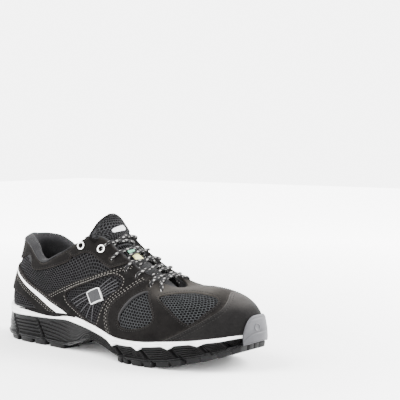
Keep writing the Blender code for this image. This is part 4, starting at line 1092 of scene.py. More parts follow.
def makePanels():
    for side, sign in sides.items():
        top, front = saddle[side], ringLine[side]
        rear = endAtEdge(sideLine(cut["counterTop"][:3], side))
        panel = [closedLoop(top, "edge", front, "foot", rear), windows["quarterWindow", side]]
        panel += eyeletHoles(side, (3, 4))
        lines = [windowSeam(windows["quarterWindow", side], 1.9)]
        lines += [moved(line, sign * step * mm) for step in (1.6, 3.9) for line in (top, front)]
        stitches = [line for line in (within(line, panel) for line in lines) if len(line[0]) > 4]
        seams["beige"] += stitches
        panelMesh("quarterPanel_" + side, panel, blackNubuck, "nubuck", ("quarter_overlay_" + side,),
                channels=stitches)
        low = endAtEdge(sideLine(cut["eyestayLow"], side))
        panel = [closedLoop(low, "edge")] + eyeletHoles(side, (0, 1), "ringHole") + eyeletHoles(side, (2,))
        line = within(moved(low, -sign * 1.7 * mm), panel)
        seams["collar"].append(line)
        panelMesh("eyestayPanel_" + side, panel, brownNubuck, "eyestay", ("eyestay_" + side,),
                channels=[line], base=shoe["gap"] + 0.0004)
    print("side panels made")
    panel = [closedLoop(backward(ringLine["lateral"]), "edge", ringLine["medial"], "foot", backward(toeLine),
            "foot")]
    panel += [windows[name, side] for name in ("ringWindow", "vampWindow") for side in sides]
    panel += [hole for side in sides for hole in eyeletHoles(side, (5, 6))]
    stitches = [windowSeam(window, 1.8) for (name, _), window in windows.items() if name != "quarterWindow"]
    stitches += [moved(ringLine[side], -sign * 1.8 * mm) for side, sign in sides.items()]
    stitches = [within(line, panel) for line in stitches]
    seams["black"] += stitches
    # paler raw edges, and a painted highlight on the top of the vamp above 56 mm, where the key light falls
    vampEdgesAndHighlight = lambda at, edges: np.clip(0.25 * edges + 0.9 * smoothStep(56 * mm, 66 * mm, at[:, 2])
            * smoothStep(0.196, 0.225, at[:, 0])
            * (1 - 0.7 * smoothStep(0.250, 0.275, at[:, 0])), 0, 1)
    panelMesh("vampPanel", panel, brownNubuck, "nubuck", ("vamp_overlay",), channels=stitches, wearAndPaintedHighlight=vampEdgesAndHighlight)
    print("vamp made")
    loop = closedLoop(toeLine, "foot")
    stitches = [seamBeside(toeLine, loop, away) for away in (1.7, 4.1)]
    seams["black"] += stitches
    # paler raw edges, and a painted highlight on the toe cap's crown above 50 mm
    panelMesh("toePanel", [loop], toeNubuck, "nubuck", ("toe_cap",), channels=stitches, thickness=0.0016,
            wearAndPaintedHighlight=lambda at, edges: np.clip(0.25 * edges + 0.8 * smoothStep(50 * mm, 68 * mm, at[:, 2]), 0, 1))
    loop = closedLoop(roundHeel("counterTop"), "foot", backward(roundHeel("counterLow")), "foot")
    panelMesh("counterPanel", [loop], blackNubuck, "nubuck", ("heel_counter",), thickness=0.0015)
    topline = endAtEdge(roundHeel("collarLow"))
    loop = closedLoop(topline, "edge")
    line = seamBeside(topline, loop, 1.7)
    seams["collar"].append(line)
    panelMesh("collarBand", [loop], brownNubuck, "eyestay", ("collar_band",), channels=[line])


makePanels()
print("panels made")


# Soft tubes and small skins

def tube(route, sizes, around=12, up=(0.0, 0.0, 1.0)):
    # Oval tube along a route, with its uv; sizes are the half widths across and along up.
    count = len(route)
    sizes = np.broadcast_to(sizes, (count, 2))
    tangent = unit(np.gradient(route, axis=0))
    across = unit(np.cross(np.broadcast_to(up, (count, 3)), tangent))
    raised = np.cross(tangent, across)
    angles = circle(around)
    points = (route[:, None] + (sizes[:, :1] * np.cos(angles))[:, :, None] * across[:, None]
            + (sizes[:, 1:] * np.sin(angles))[:, :, None] * raised[:, None]).reshape(-1, 3)
    uv = np.column_stack([np.tile(angles / (2 * math.pi), count), np.repeat(runAlong(route) / mm, around)])
    return points, gridFaces(count, around, flip=True) + endFaces(count, around), uv


def sweep(name, route, sizes, material, slot, around=10, up=(0.0, 0.0, 1.0)):
    return makePiece(name, *tube(route, sizes, around, up)[:2], material, slot)


def gathered(parts):
    # Several meshes as one list of points, faces and uv.
    points, faces, uvs, base = [], [], [], 0
    for part, partFaces, uv in parts:
        points.append(part)
        faces += [tuple(base + i for i in face) for face in partFaces]
        uvs.append(uv)
        base += len(part)
    return np.vstack(points), faces, np.vstack(uvs)


# Collar: knit roll over the topline and the padded lining below it

collar = {"endRow": 6.5, "pad": 0.005, "stations": 118, "around": 44, "fill": 0.85, "wrinkle": 0.00045,
        "fold": 0.0007}
rollHeight = fairCurve((0, 2, 3.4, 5, 7), (0.0065, 0.0060, 0.0042, 0.0028, 0.0010))
rollWidth = fairCurve((0, 2, 3.4, 5, 7), (0.0095, 0.0095, 0.0085, 0.0070, 0.0045))


def makeCollar():
    rows = np.linspace(-collar["endRow"], collar["endRow"], collar["stations"])
    ones = np.ones(len(rows))
    edge, out = surfacePoint(rows, ones), unit(surfaceNormal(rows, ones) * (1, 1, 0))
    height, width = rollHeight(np.abs(rows))[:, None], rollWidth(np.abs(rows))[:, None]
    rim, back, lift = shoe["panel"], shoe["wall"] + 1.5 * shoe["gap"], 2 * shoe["gap"]
    pad = collar["pad"]
    beside = lambda away, rise: edge + out * away + np.array((0, 0, 1.0)) * rise
    inside = lambda share, depth: surfacePoint(rows, ones * share) - surfaceNormal(rows, ones * share) * depth
    section = [beside(-0.50 * width, height + lift), beside(rim - 0.35 * width, 0.82 * height + lift),
            beside(rim, 0.45 * height + lift), beside(rim, lift), beside(-back, lift), inside(0.93, back),
            inside(0.80, back), inside(0.62, back), inside(0.56, back + 0.0006),
            inside(0.62, back + 0.3 * pad), inside(0.72, back + 0.6 * pad), inside(0.83, back + 0.9 * pad),
            inside(0.92, back + pad), beside(-width, 0.0), beside(-0.93 * width, 0.5 * height + lift),
            beside(-0.7 * width, 0.9 * height + lift)]
    loops = []
    for loop in np.array(section).transpose(1, 0, 2):
        fine = splineThrough(loop, 0.5 * mm, closed=True)
        fine = np.vstack([fine, fine[:1]])
        run = runAlong(fine)
        where = np.linspace(0, run[-1], collar["around"] + 1)[:-1]
        loops.append(np.column_stack([np.interp(where, run, fine[:, k]) for k in range(3)]))
    loops = np.array(loops)
    # soft pulls where the knit turns over the roll, deeper round the heel's bends
    centre = loops.mean(axis=1, keepdims=True)
    outward = unit(loops - centre)
    ripple = np.sin(rows * 2.9 + 0.7) * np.sin(rows * 1.3 + 2.0) * 0.6 + 0.4 * np.sin(rows * 5.3)
    topness = np.clip((loops[:, :, 2] - centre[:, :, 2]) / 0.012, 0, 1)
    fold = np.exp(-((np.abs(rows) - 3.1) / 0.16) ** 2) * collar["fold"]
    loops += outward * ((collar["wrinkle"] * ripple - fold)[:, None] * topness)[:, :, None]
    piece = ringPiece("collarPadding", loops, liningKnit, "lining", ("collar_padding",))


makeCollar()


# Tongue: arched padded slab with a bound rim, a plain label and two plain tabs under the laces

tongue = {
    # shares of the shoe's length, of the instep's height, of the half width, and of the radius across
    "rows": ((0.748, 0.541, 0.33, 1), (0.702, 0.569, 0.34, 1), (0.662, 0.620, 0.35, 1),
        (0.623, 0.690, 0.36, 1), (0.564, 0.790, 0.35, 1), (0.515, 0.882, 0.30, 1), (0.479, 0.970, 0.265, 1),
        (0.470, 1.000, 0.32, 1.3), (0.462, 1.028, 0.52, 1.6), (0.455, 1.056, 0.55, 1.8),
        (0.440, 1.110, 0.37, 1.8), (0.432, 1.150, 0.20, 1.8), (0.428, 1.172, 0.06, 1.8)),
    "thickness": 0.005, "radius": 0.027, "shift": -0.0025, "lean": 0.0050, "steps": 64, "columns": 26,
    "fill": 0.7, "cells": (12, 19), "meshFrom": 0.35, "bindingFrom": 0.30,
}
tongueCurves = [fairCurve(np.linspace(0, 1, len(tongue["rows"])), [row[k] * size for row in tongue["rows"]])
        for k, size in enumerate((length, shoe["instepHeight"], halfWidth, tongue["radius"]))]


def tonguePoint(share, turned, depth):
    # Point of the tongue at a share of its length, a share -1 to 1 across, and a depth below its face.
    share, turned, depth = np.broadcast_arrays(*(np.atleast_1d(v) * 1.0 for v in (share, turned, depth)))
    x, z, half, radius = (curve(share) for curve in tongueCurves)
    low, high = np.maximum(share - 0.01, 0), np.minimum(share + 0.01, 1)
    slope = np.array([tongueCurves[k](high) - tongueCurves[k](low) for k in (0, 1)])
    slope /= np.linalg.norm(slope, axis=0)
    normal = np.array([slope[1], -slope[0]])
    normal = normal * np.where(normal[1] < 0, -1, 1)
    angle = turned * half / radius
    drop = radius - (radius - depth) * np.cos(angle)
    middle = tongue["shift"] + tongue["lean"] * smoothStep(0.70, 1.0, share)
    return np.column_stack([x - normal[0] * drop, middle + (radius - depth) * np.sin(angle),
            z - normal[1] * drop])


def tongueThickness(share):
    return tongue["thickness"] * (0.55 + 0.45 * np.minimum(1.0, share * 3))


def makeTongue():
    cells, levels = tongue["cells"]

    def place(h, v, rise):
        across = np.clip(h / (2 * cells + 1), 0, 1) * 2 - 1
        share = tongue["meshFrom"] + (1 - tongue["meshFrom"]) * np.clip(v / levels, 0, 1)
        rounding = np.abs(across) ** 6 * 0.9
        quilt = 0.0005 * np.exp(-((np.abs(across) - 0.80) / 0.05) ** 2)
        return tonguePoint(share, across, tongueThickness(share) / 2 * rounding + quilt - rise)

    inner = lambda at, centres: ((centres[:, 0] > 1.5) & (centres[:, 0] < 2 * cells - 0.5)
            & (centres[:, 1] < levels - 1))
    points, depth, faces = pittedMesh(place, cells, levels, inner, closed=False)
    piece = makePiece("tongueMesh", points, faces, airMesh, "mesh", ("tongue",),
            attributes={"depth": depth, "zone": np.full(len(points), 0.25)})
    # the whole pad under the mesh skin, a little lower so that the skin lies on it
    across = np.linspace(-1, 1, tongue["columns"] + 1)
    rounding = 1 - np.abs(across) ** 6
    loops = []
    for share in np.linspace(0, 1, tongue["steps"] + 1):
        half = tongueThickness(share) / 2
        sink = 0.0014 if share > tongue["meshFrom"] - 0.02 else 0.0
        below = tonguePoint(share, across, half + half * rounding)
        loops.append(np.vstack([tonguePoint(share, across, half * (1 - rounding) + sink * rounding),
                below[-2:0:-1]]))
    piece = ringPiece("tonguePad", loops, tongueKnit, "mesh", ("tongue",), ends="across")
    rise = np.linspace(tongue["bindingFrom"], 1, 46)
    route = np.vstack([tonguePoint(rise, -1.0, tongue["thickness"] / 2),
            tonguePoint(rise[::-1], 1.0, tongue["thickness"] / 2)])
    route = route[np.append(True, np.linalg.norm(np.diff(route, axis=0), axis=1) > 0.3 * mm)]
    sweep("tongueBinding", route, (0.0010, 0.0019), blackNubuck, "mesh", up=(0.35, 0.0, 0.94))
    tongueSkin("tongueLabel", (0.668, 0.772), (-0.22, 0.46), labelMaterial(), 0.16, tilt=0.07)
    tongueSkin("tongueTabLow", (0.338, 0.383), (-0.30, 0.24),
            threadMaterial("paleYellowTab", (0.34, 0.33, 0.14), (0.50, 0.49, 0.24)), 0.10)
    tongueSkin("tongueTabHigh", (0.383, 0.424), (-0.30, 0.24),
            threadMaterial("greenTab", (0.10, 0.30, 0.19), (0.20, 0.45, 0.32)), 0.10)


def makeGusset():
    # closes the front of the throat, from its edge down to the tongue's face
    edge = lifted(np.linspace(13.0, 21.0, 41), 1.0, -0.0011, soft=False)
    foot = tonguePoint(0.13, np.linspace(-0.95, 0.95, 41), -0.0002)
    loops = [edge * (1 - share) + foot * share - (0, 0, 0.0022 * math.sin(math.pi * share))
            for share in np.linspace(0, 1, 9)]
    loops += [loop - (0, 0, 0.0009) for loop in loops[::-1]]
    ringPiece("throatGusset", np.array(loops).transpose(1, 0, 2), tongueKnit, "mesh")


def labelMaterial():
    # Silver-white woven label: fine warp and weft, soft shine.
    material, tree, shader, where = nodeMaterial("silverLabel")
    warp, weft = (addNode(tree, "ShaderNodeTexWave", {"Vector": where, "Scale": scale, "Distortion": 0.6},
            bands_direction=run).outputs["Fac"] for scale, run in ((900.0, "Y"), (700.0, "Z")))
    cloth = mathNode(tree, "MULTIPLY", warp, weft)
    setSockets(tree, shader, Roughness=0.45, Sheen_Weight=0.2,
            Base_Color=colourRamp(tree, cloth, (0.1, (0.26, 0.26, 0.27)), (0.8, (0.56, 0.56, 0.57))))
    addBumps(tree, shader, (cloth, 0.4, 0.0003))
    return material


def tongueSkin(name, along, across, material, rounding, tilt=0.0, rise=0.0006, steps=22):
    # Thin patch on the face of the tongue with rounded corners and a turned edge.
    u, v = (grid.ravel() for grid in np.meshgrid(*[np.linspace(-1, 1, steps + 1)] * 2, indexing="ij"))
    middle, half = ((along[0] + along[1]) / 2, (across[0] + across[1]) / 2), (
        (along[1] - along[0]) / 2, (across[1] - across[0]) / 2)
    corner = 1 - rounding * np.abs(u) ** 4 * np.abs(v) ** 4
    bow = 0.15 * mm * (1 - u * u) * (1 - v * v)
    points = []
    for level, scale in ((-0.0002, 1.0), (rise * 0.6, 0.995), (rise, 0.965)):
        points.append(tonguePoint(middle[0] + u * scale * corner * half[0] + tilt * v * half[1],
                middle[1] + v * scale * corner * half[1], -level - bow))
    row, size = steps + 1, (steps + 1) ** 2
    border = [*range(steps), *range(steps, size - 1, row), *range(size - 1, size - row, -1),
            *range(size - row, 0, -row)]
    faces = [(low + a, low + b, low + size + b, low + size + a)
            for low in (0, size) for a, b in zip(border, border[1:] + border[:1])]
    for base, turn in ((0, -1), (2 * size, 1)):
        for a in (base + i * row + j for i in range(steps) for j in range(steps)):
            faces.append((a, a + 1, a + row + 1, a + row)[::turn])
    # the middle level is a border alone
    used = sorted({i for face in faces for i in face})
    number = {old: new for new, old in enumerate(used)}
    return makePiece(name, np.vstack(points)[used], [tuple(number[i] for i in face) for face in faces],
            material, "mesh", clean="shell")


makeTongue()
makeGusset()
print("collar and tongue made")


# Eyelet rings and laces

laces = {"half": 0.0016, "thick": 0.0012, "lift": 0.0008, "arch": 0.0026, "cross": 0.0012, "step": 1.0}


def makeRings():
    ring, wire = eyelets["ring"] * mm, eyelets["wire"] * mm
    profile = ((0.95, -0.55), (1.0, 0.05), (0.72, 0.62), (0.1, 0.92), (-0.55, 0.72), (-0.95, 0.05),
            (-0.95, -0.55), (0.3, -0.75))
    angles = circle(40)[:, None]
    for side in sides:
        for number in (1, 2):
            place = eyeletAt[side][number - 1]
            centre, normal = lifted(*place, panelTop + 0.0009), normalAt(*place)
            turn = np.array(Vector(normal).to_track_quat("Z", "Y").to_matrix())
            spokes = np.cos(angles) * turn[:, 0] + np.sin(angles) * turn[:, 1]
            loops = [centre + spokes * (ring + out * wire) + normal * rise * wire * 0.8
                    for out, rise in profile]
            ringPiece(f"ring_{side}_{number}", loops, ringPlastic, "eyelets", (f"eyelet_{side}_{number}",),
                    ends="joined")


def laceRoute(start, end, height, besideRing, bar):
    # From under one eyestay, over the throat, and down through the hole on the other side.
    lift = panelTop + laces["thick"] + 0.0003
    on = lambda place, rise: lifted(*place, rise, soft=False)[0]
    edge = lambda near, far, on=0.2: ((1 - on) * near[0] + on * (last["rowCount"] - far[0]), 1.0)
    rise, fall = on(edge(start, end), lift + laces["lift"]), on(edge(end, start, 0.55), lift + laces["lift"])
    toward = unit(fall - rise)
    middle = (rise + fall) / 2 + (0.002, 0, laces["arch"] + height)
    if bar:
        stops = [on(start, -0.0034), on(start, 0.0006), on(start, lift) * 0.78 + rise * 0.22, rise, middle]
    else:
        inside = -shoe["wall"] - laces["thick"]
        under = on(edge(start, end), inside - 0.0004)
        stops = [on((edge(start, end)[0], 0.93), inside - 0.0006), under + toward * 0.0008,
                (under + rise) / 2 + toward * 0.0042, middle]
    stops.append(fall)
    if besideRing:
        stops += [on(end, lift) - toward * (eyelets["ring"] + 0.4) * mm + normalAt(*end) * 0.0012,
                on(end, 0.0012)]
    else:
        stops += [on(end, lift) * 0.78 + fall * 0.22, on(end, 0.0006)]
    # each coordinate turns without overshooting its stops, so that the cord lies close to the throat
    stops = np.array(stops + [on(end, -0.0034)])
    knots = runAlong(stops)
    at = np.linspace(0, knots[-1], int(knots[-1] / (laces["step"] * mm)))
    route = np.column_stack([fairCurve(knots, stops[:, k])(at) for k in range(3)])
    for _ in range(4):
        route[1:-1] = 0.5 * route[1:-1] + 0.25 * (route[:-2] + route[2:])
    return route


def makeLaces():
    strands = [(eyeletAt["lateral"][6], eyeletAt["medial"][6], 0.0004, False, True)]
    for k in range(1, 6):
        for near, far, height in (("lateral", "medial", laces["cross"]),
                ("medial", "lateral", -laces["cross"])):
            strands.append((eyeletAt[near][k + 1], eyeletAt[far][k], height if k % 2 else -height, k == 1,
                    False))
    parts = []
    for strand in strands:
        route = laceRoute(*strand)
        number = np.arange(len(route))
        pinch = 0.80 + 0.20 * np.clip(np.minimum(number, number[::-1]) * laces["step"] / 6.0, 0, 1)
        wave = 1 + 0.03 * np.sin(number * 1.9)
        parts.append(tube(route, (pinch * wave)[:, None] * (laces["half"], laces["thick"]), 14,
                (0.45, 0.0, 0.9)))
    points, faces, uv = gathered(parts)
    makePiece("lacing", points, faces, laceBraid, "laces", ("laces",), uv=uv)


makeRings()
makeLaces()
print("laces made")


# Stitches, one tree for every row of them

def stitchTree(material):
    tree = bpy.data.node_groups.new("stitchRow", "GeometryNodeTree")
    tree.interface.new_socket("Geometry", in_out="INPUT", socket_type="NodeSocketGeometry")
    for name, value in (("Length", 0.0020), ("Width", 0.0007), ("Height", 0.0006)):
        socket = tree.interface.new_socket(name, in_out="INPUT", socket_type="NodeSocketFloat")
        socket.default_value = value
    tree.interface.new_socket("Geometry", in_out="OUTPUT", socket_type="NodeSocketGeometry")
    entry = tree.nodes.new("NodeGroupInput").outputs
    bead = addNode(tree, "GeometryNodeMeshUVSphere", {"Segments": 6, "Rings": 4, "Radius": 0.5})
    size = addNode(tree, "ShaderNodeCombineXYZ", {"X": entry["Length"], "Y": entry["Width"],
            "Z": entry["Height"]})
    shaped = addNode(tree, "GeometryNodeTransform", {"Geometry": bead.outputs["Mesh"],
            "Scale": size.outputs[0]})
    up, along = (addNode(tree, "GeometryNodeInputNamedAttribute", {"Name": name}, data_type="FLOAT_VECTOR")
            .outputs["Attribute"] for name in ("up", "along"))
    axes = addNode(tree, "FunctionNodeAxesToRotation", {0: up, 1: along}, primary_axis="Z",
            secondary_axis="X")
    placed = addNode(tree, "GeometryNodeInstanceOnPoints", {
        "Points": entry["Geometry"], "Instance": shaped.outputs["Geometry"],
        "Rotation": axes.outputs["Rotation"]})
    real = addNode(tree, "GeometryNodeRealizeInstances", {"Geometry": placed.outputs["Instances"]})
    paint = addNode(tree, "GeometryNodeSetMaterial",
            {"Geometry": real.outputs["Geometry"], "Material": material})
    addNode(tree, "NodeGroupOutput", {"Geometry": paint.outputs["Geometry"]})
    return tree


def stitchLines(name, lines, material, pitch, size, rise=0.0):
    # Stitches at an even pitch along lines of the upper; rise is the height of the panel under them.
    places, along, up = [], [], []
    for rows, shares in lines:
        if len(rows) < 3:
            continue
        here = surfacePoint(rows, shares)
        gap, run = np.linalg.norm(np.diff(here, axis=0), axis=1), runAlong(here)
        where = np.arange(pitch * mm / 2, run[-1], pitch * mm)
        number = np.interp(where, run, np.arange(len(rows)))
        breaks = np.nonzero(gap > 4 * mm)[0]
        keep = np.array([not any(k <= n <= k + 1 for k in breaks) for n in number], bool)
        r, s = np.interp(where, run, rows)[keep], np.interp(where, run, shares)[keep]
        if len(r) < 2:
            continue
        places.append(lifted(r, s, panelTop + rise - 0.00012))
        along.append(unit(np.gradient(places[-1], axis=0)))
        up.append(surfaceNormal(r, s))
    seed = bpy.data.meshes.new(name)
    seed.from_pydata([tuple(p) for p in np.vstack(places) + np.array(originShift)], [], [])
    for key, values in (("along", along), ("up", up)):
        layer = seed.attributes.new(key, "FLOAT_VECTOR", "POINT")
        layer.data.foreach_set("vector", np.vstack(values).astype(np.float32).ravel())
    holder = newObject(name + "_seed", seed)
    modifier = holder.modifiers.new("stitches", "NODES")
    modifier.node_group = stitchTree(material)
    sizes = dict(zip(("Length", "Width", "Height"), size))
    for item in modifier.node_group.interface.items_tree:
        if item.in_out == "INPUT" and item.name in sizes:
            modifier[item.identifier] = sizes[item.name] * mm
    graph = bpy.context.evaluated_depsgraph_get()
    result = bpy.data.meshes.new_from_object(holder.evaluated_get(graph))
    result.name = name
    bpy.data.objects.remove(holder)
    result.polygons.foreach_set("use_smooth", [True] * len(result.polygons))
    return finishPiece(newObject(name, result))


stitchLines("stitchBeige", seams["beige"], beigeThread, 3.2, (2.1, 0.78, 0.62))
stitchLines("stitchBlack", seams["black"], blackThread, 2.5, (1.7, 0.8, 0.6), 0.0002)
stitchLines("stitchCollar", seams["collar"], blackThread, 2.5, (1.8, 0.8, 0.6), 0.0003)
print("stitches made")


# Sole: ring stations shared by its layers

soleShape = {
    "half": 560, "ribs": 5.5, "ribDepth": 0.0023, "grooveDepth": 0.0040, "grooveWidth": 0.0018,
    "carrierInset": 0.0008, "carrierLevels": 36, "plate": 0.0042,
    # top and foot of each slanted groove, x and z in mm
    "grooves": (((29, 26), (38, 3)), ((67.5, 24.5), (79, 1)), ((177, 19.5), (198, 1)),
        ((210, 19.5), (226, 4)),
        ((241.5, 22), (255, 9)), ((266.5, 27.5), (279, 14)), ((287.5, 27), (296, 18))),
    "notches": ((178, 3.4), (210.5, 3.6), (242, 3.2), (267, 2.4)),   # white points over the front grooves
}


def ringStations(half):
    # Rows round the sole, evenly spaced along each side, heel to toe and back.
    result = []
    for side in sides:
        rows = planRows(side, np.linspace(0, planHalf, 1401))
        run = runAlong(planPoints(rows)[0])
        result.append(np.interp(np.linspace(0, run[-1], half + 1), run, rows))
    return np.concatenate([result[0], result[1][-2:0:-1]])


def whiteFoot(x):
    # Lower edge of the white band, with its points down into the front grooves.
    height = layerHeight("stripe", x)
    for at, deep in soleShape["notches"]:
        height = height - deep * mm * np.clip(1 - np.abs(x / mm - at) / 6.5, 0, 1) ** 1.15
    return height


def carrierRelief(x, z, share):
    # How far the ribbed side lies below its own face: ribs in blocks, long flames, slanted grooves.
    px, pz = x / mm, z / mm
    flame = smoothStep(70, 82, px) * (1 - smoothStep(118, 150, px))
    phase = share * soleShape["ribs"] + 0.35 + flame * (np.clip((px - 70) / 44, 0, 2) ** 1.7 * 1.9)
    arch = smoothStep(120, 150, px) * (1 - smoothStep(176, 186, px))
    phase = phase * (1 - arch) + arch * (share * 4.2 + 0.3)
    valley = np.exp(-(((phase % 1.0) - 0.5) / 0.17) ** 2)
    calm = smoothStep(104, 122, px) * (1 - smoothStep(132, 150, px))
    calm = calm * smoothStep(-0.5, 0.9, (pz - 6) / 20 * 1.4 - (px - 104) / 60 + 0.3) * 0.92
    amount = (1 - 0.15 * arch) * (1 - calm)
    amount = amount * (1 - smoothStep(0.84, 0.93, share)) * smoothStep(0.0, 0.04, share)
    depth = soleShape["ribDepth"] * valley * amount
    groove = np.zeros(len(x))
    for (topX, topZ), (footX, footZ) in soleShape["grooves"]:
        slope = (footX - topX) / (topZ - footZ)
        away = np.abs(px - topX - slope * (topZ - pz)) * mm / math.sqrt(1 + slope * slope)
        wide = soleShape["grooveWidth"] * (0.72 + 0.5 * np.clip((topZ - pz) / (topZ - footZ), 0, 1.2))
        lip = np.exp(-((away - wide * 1.45) / 0.0006) ** 2) * 0.25 * mm
        below = smoothStep(topZ + 1.8, topZ - 1.0, pz)
        groove = np.maximum(groove, soleShape["grooveDepth"] * np.exp(-(away / wide) ** 4) * below)
        depth = depth * (1 - np.exp(-(away / (wide * 1.7)) ** 6) * below) - lip * below
    return depth + groove + 0.0007 * (1 - share) * (1 - arch)


def makeCarrier():
    rows = ringStations(soleShape["half"])
    x, seat = planPoints(rows)[0][:, 0], 1.5 * shoe["gap"]
    bottom, top = layerHeight("outsole", x) + seat, whiteFoot(x) - seat
    loops = []
    for share in np.linspace(0, 1, soleShape["carrierLevels"] + 1):
        points, inward = planPoints(rows, soleShape["carrierInset"], shoe["heelFlare"] * share ** 2,
                shoe["toeRoom"])
        z = bottom + share * (top - bottom)
        relief = carrierRelief(x, z, np.full(len(rows), share))
        loops.append(np.column_stack([points + inward * relief[:, None], z]))
    ringPiece("carrierFoam", loops, darkFoam, "midsole_carrier", ("midsole_carrier",), ends="across")


def makeStripe():
    rows = ringStations(360)
    base, inward = planPoints(rows)
    x = base[:, 0]
    low, high = whiteFoot(x), layerHeight("feather", x)
    loops = []
    for share, inset in ((0, 0.0016), (0.02, 0.0008), (0.10, 0.0002), (0.25, 0), (0.42, 0.00005),
            (0.46, 0.0003), (0.50, 0.00005), (0.70, 0), (0.86, 0.0001), (0.95, 0.0005), (1, 0.0013)):
        wave = 0.00008 * np.sin(x * 420 + share * 9) + 0.00005 * np.sin(x * 1130 + share * 4)
        points = upperEdge(rows, inset) + inward * wave[:, None] * (0.1 < share < 0.96)
        loops.append(np.column_stack([points, low + share * (high - low)]))
    ringPiece("whiteBand", loops, whiteFoam, "midsole_stripe", ("midsole_stripe",), ends="across")


footEdge = {"deep": 3.0, "from": (38, 84), "to": (92, 124)}     # mm; nubuck turned down over the white band


def makeFootEdge():
    profile = ((0.0022, 0.0014, 0), (0.0009, 0.0007, 0), (-0.0001, -0.0003, 0.1), (-0.00035, 0, 0.5),
            (-0.00035, 0, 0.93), (0.0001, 0, 1.0), (0.0012, 0, 0.9), (0.0024, 0.0, 0.3))
    for side in sides:
        rows = np.linspace(1.5, 6.2, 130)
        rows = rows if side == "lateral" else 2 * planHalf - rows
        x = planPoints(rows)[0][:, 0]
        deep = footEdge["deep"] * mm * smoothStep(*np.array(footEdge["from"]) * mm, x) * (
            1 - smoothStep(*np.array(footEdge["to"]) * mm, x))
        keep = deep > 0.02 * mm
        rows, deep, x = rows[keep], deep[keep], x[keep]
        loops = [np.column_stack([upperEdge(rows, inset), layerHeight("feather", x)
                + rise * np.minimum(1, deep / mm) - share * deep])
                for inset, rise, share in profile]
        ringPiece("footEdge_" + side, np.array(loops).transpose(1, 0, 2), blackNubuck, "nubuck",
                attributes={"wearAndPaintedHighlight": np.zeros(len(rows) * len(profile))})


makeCarrier()
makeStripe()
makeFootEdge()
print("midsole made")


# Outsole: thin plate, tread lugs under it, shank and toe bumper

tread = {
    "draft": 0.0005, "gapWide": 4.6, "shankFrom": 104, "shankTo": 188,
    # x in mm of the forefoot's bands and the heel's blocks, from and to
    "front": ((181.5, 199.8), (199.8, 227.2), (227.2, 254.7), (254.7, 279.1), (279.1, 299.0)),
    "heel": ((4.0, 34.0), (39.5, 56.5), (60.5, 75.5), (82.0, 103.0)),
    "teardrop": ((24, 0), (30, 6.2), (42, 9.6), (58, 9.4), (78, 6.4), (98, 2.6), (104, 0), (98, -2.6),
        (78, -6.4), (58, -9.4), (42, -9.6), (30, -6.2)),
}


def onSole(x, across, inset=0.0024):
    # A place of the underside in mm: x in mm and -1 (lateral edge) to 1 (medial edge).
    x = np.asarray(x, float) * mm
    low, high = (planSide(side, x, inset) for side in sides)
    return np.column_stack([x, (low + high) / 2 + np.asarray(across) * (high - low) / 2]) / mm


def makePlate():
    half, columns = 300, 36
    rows = ringStations(half)
    count = len(rows)
    x = planPoints(rows)[0][:, 0]
    top = layerHeight("outsole", x)
    bottom = np.minimum(groundHeight(x) + soleShape["plate"], top - 0.0012)
    loops = []
    for share, inset in ((0, 0.0032), (0.05, 0.0024), (0.25, 0.0016), (0.40, 0.0013), (0.48, 0.0021),
            (0.56, 0.0021), (0.64, 0.0010), (0.80, 0.0005), (0.88, 0.0002), (0.97, 0.0002), (1, 0.0008)):
        points, inward = planPoints(rows, inset, -0.002 * (1 - share), 0.0)
        z = bottom + share * (top - bottom)
        cut = np.maximum(carrierRelief(x, z, np.zeros(count)) - 0.0007, 0) * 0.8
        loops.append(np.column_stack([points + inward * cut[:, None], z]))
    faces = gridFaces(len(loops), count) + acrossRing((len(loops) - 1) * count, count)
    # underside as a finer grid, with the shank's ladder of ribs
    first, lateral = loops[0], np.arange(half + 1)
    medial = (count - lateral) % count
    start = len(loops) * count
    for t in np.linspace(0, 1, columns + 1):
        line = first[lateral] * (1 - t) + first[medial] * t
        px = line[:, 0] / mm
        arch = smoothStep(104, 116, px) * (1 - smoothStep(176, 190, px))
        ladder = smoothStep(0.25, 0.45, 0.5 + 0.5 * np.sin(px * 2 * math.pi / 4.2))
        strip = max(math.exp(-((t - at) / 0.055) ** 4) for at in (0.30, 0.70))
        rails = sum(math.exp(-((t - at) / 0.018) ** 2) for at in (0.22, 0.38, 0.62, 0.78))
        line[:, 2] += arch * (0.0011 * strip * ladder - 0.0007 * rails) - arch * 0.0005 * math.exp(
            -((t - 0.5) / 0.09) ** 4)
        if t in (0, 1):
            line[:, 2] = first[lateral, 2]
        loops.append(line)
    index = start + lateral[:, None] + np.arange(columns + 1) * (half + 1)
    faces += [(index[i, j], index[i, j + 1], index[i + 1, j + 1], index[i + 1, j])
            for i in range(half) for j in range(columns)]
    piece = makePiece("outsolePlate", np.vstack(loops), faces, greyRubber, "outsole", ("outsole",),
            clean="plate")
    piece.data.materials.append(shankPlastic)
    for face in piece.data.polygons:
        inShank = tread["shankFrom"] < (face.center.x - originShift.x) / mm < tread["shankTo"]
        if inShank and face.normal.z < -0.5:
            face.material_index = 1


def roundCorners(outline, radius):
    # 2-D outline with its corners rounded by short arcs.
    outline = np.asarray(outline, float)
    result = []
    for before, here, after in zip(np.roll(outline, 1, axis=0), outline, np.roll(outline, -1, axis=0)):
        first, second = before - here, after - here
        a, b = np.linalg.norm(first), np.linalg.norm(second)
        reach = min(radius, a * 0.45, b * 0.45)
        start, end = here + first / a * reach, here + second / b * reach
        for t in (0.0, 0.33, 0.67, 1.0):
            result.append((1 - t) ** 2 * start + 2 * t * (1 - t) * here + t * t * end)
    return np.array(result)


def insetLoop(loop, distance):
    tangent = np.roll(loop, -1, axis=0) - np.roll(loop, 1, axis=0)
    tangent /= np.maximum(np.linalg.norm(tangent, axis=1), 1e-9)[:, None]
    inward = np.column_stack([-tangent[:, 1], tangent[:, 0]]) * (1 if turnsLeft(loop) else -1)
    return loop + inward * distance


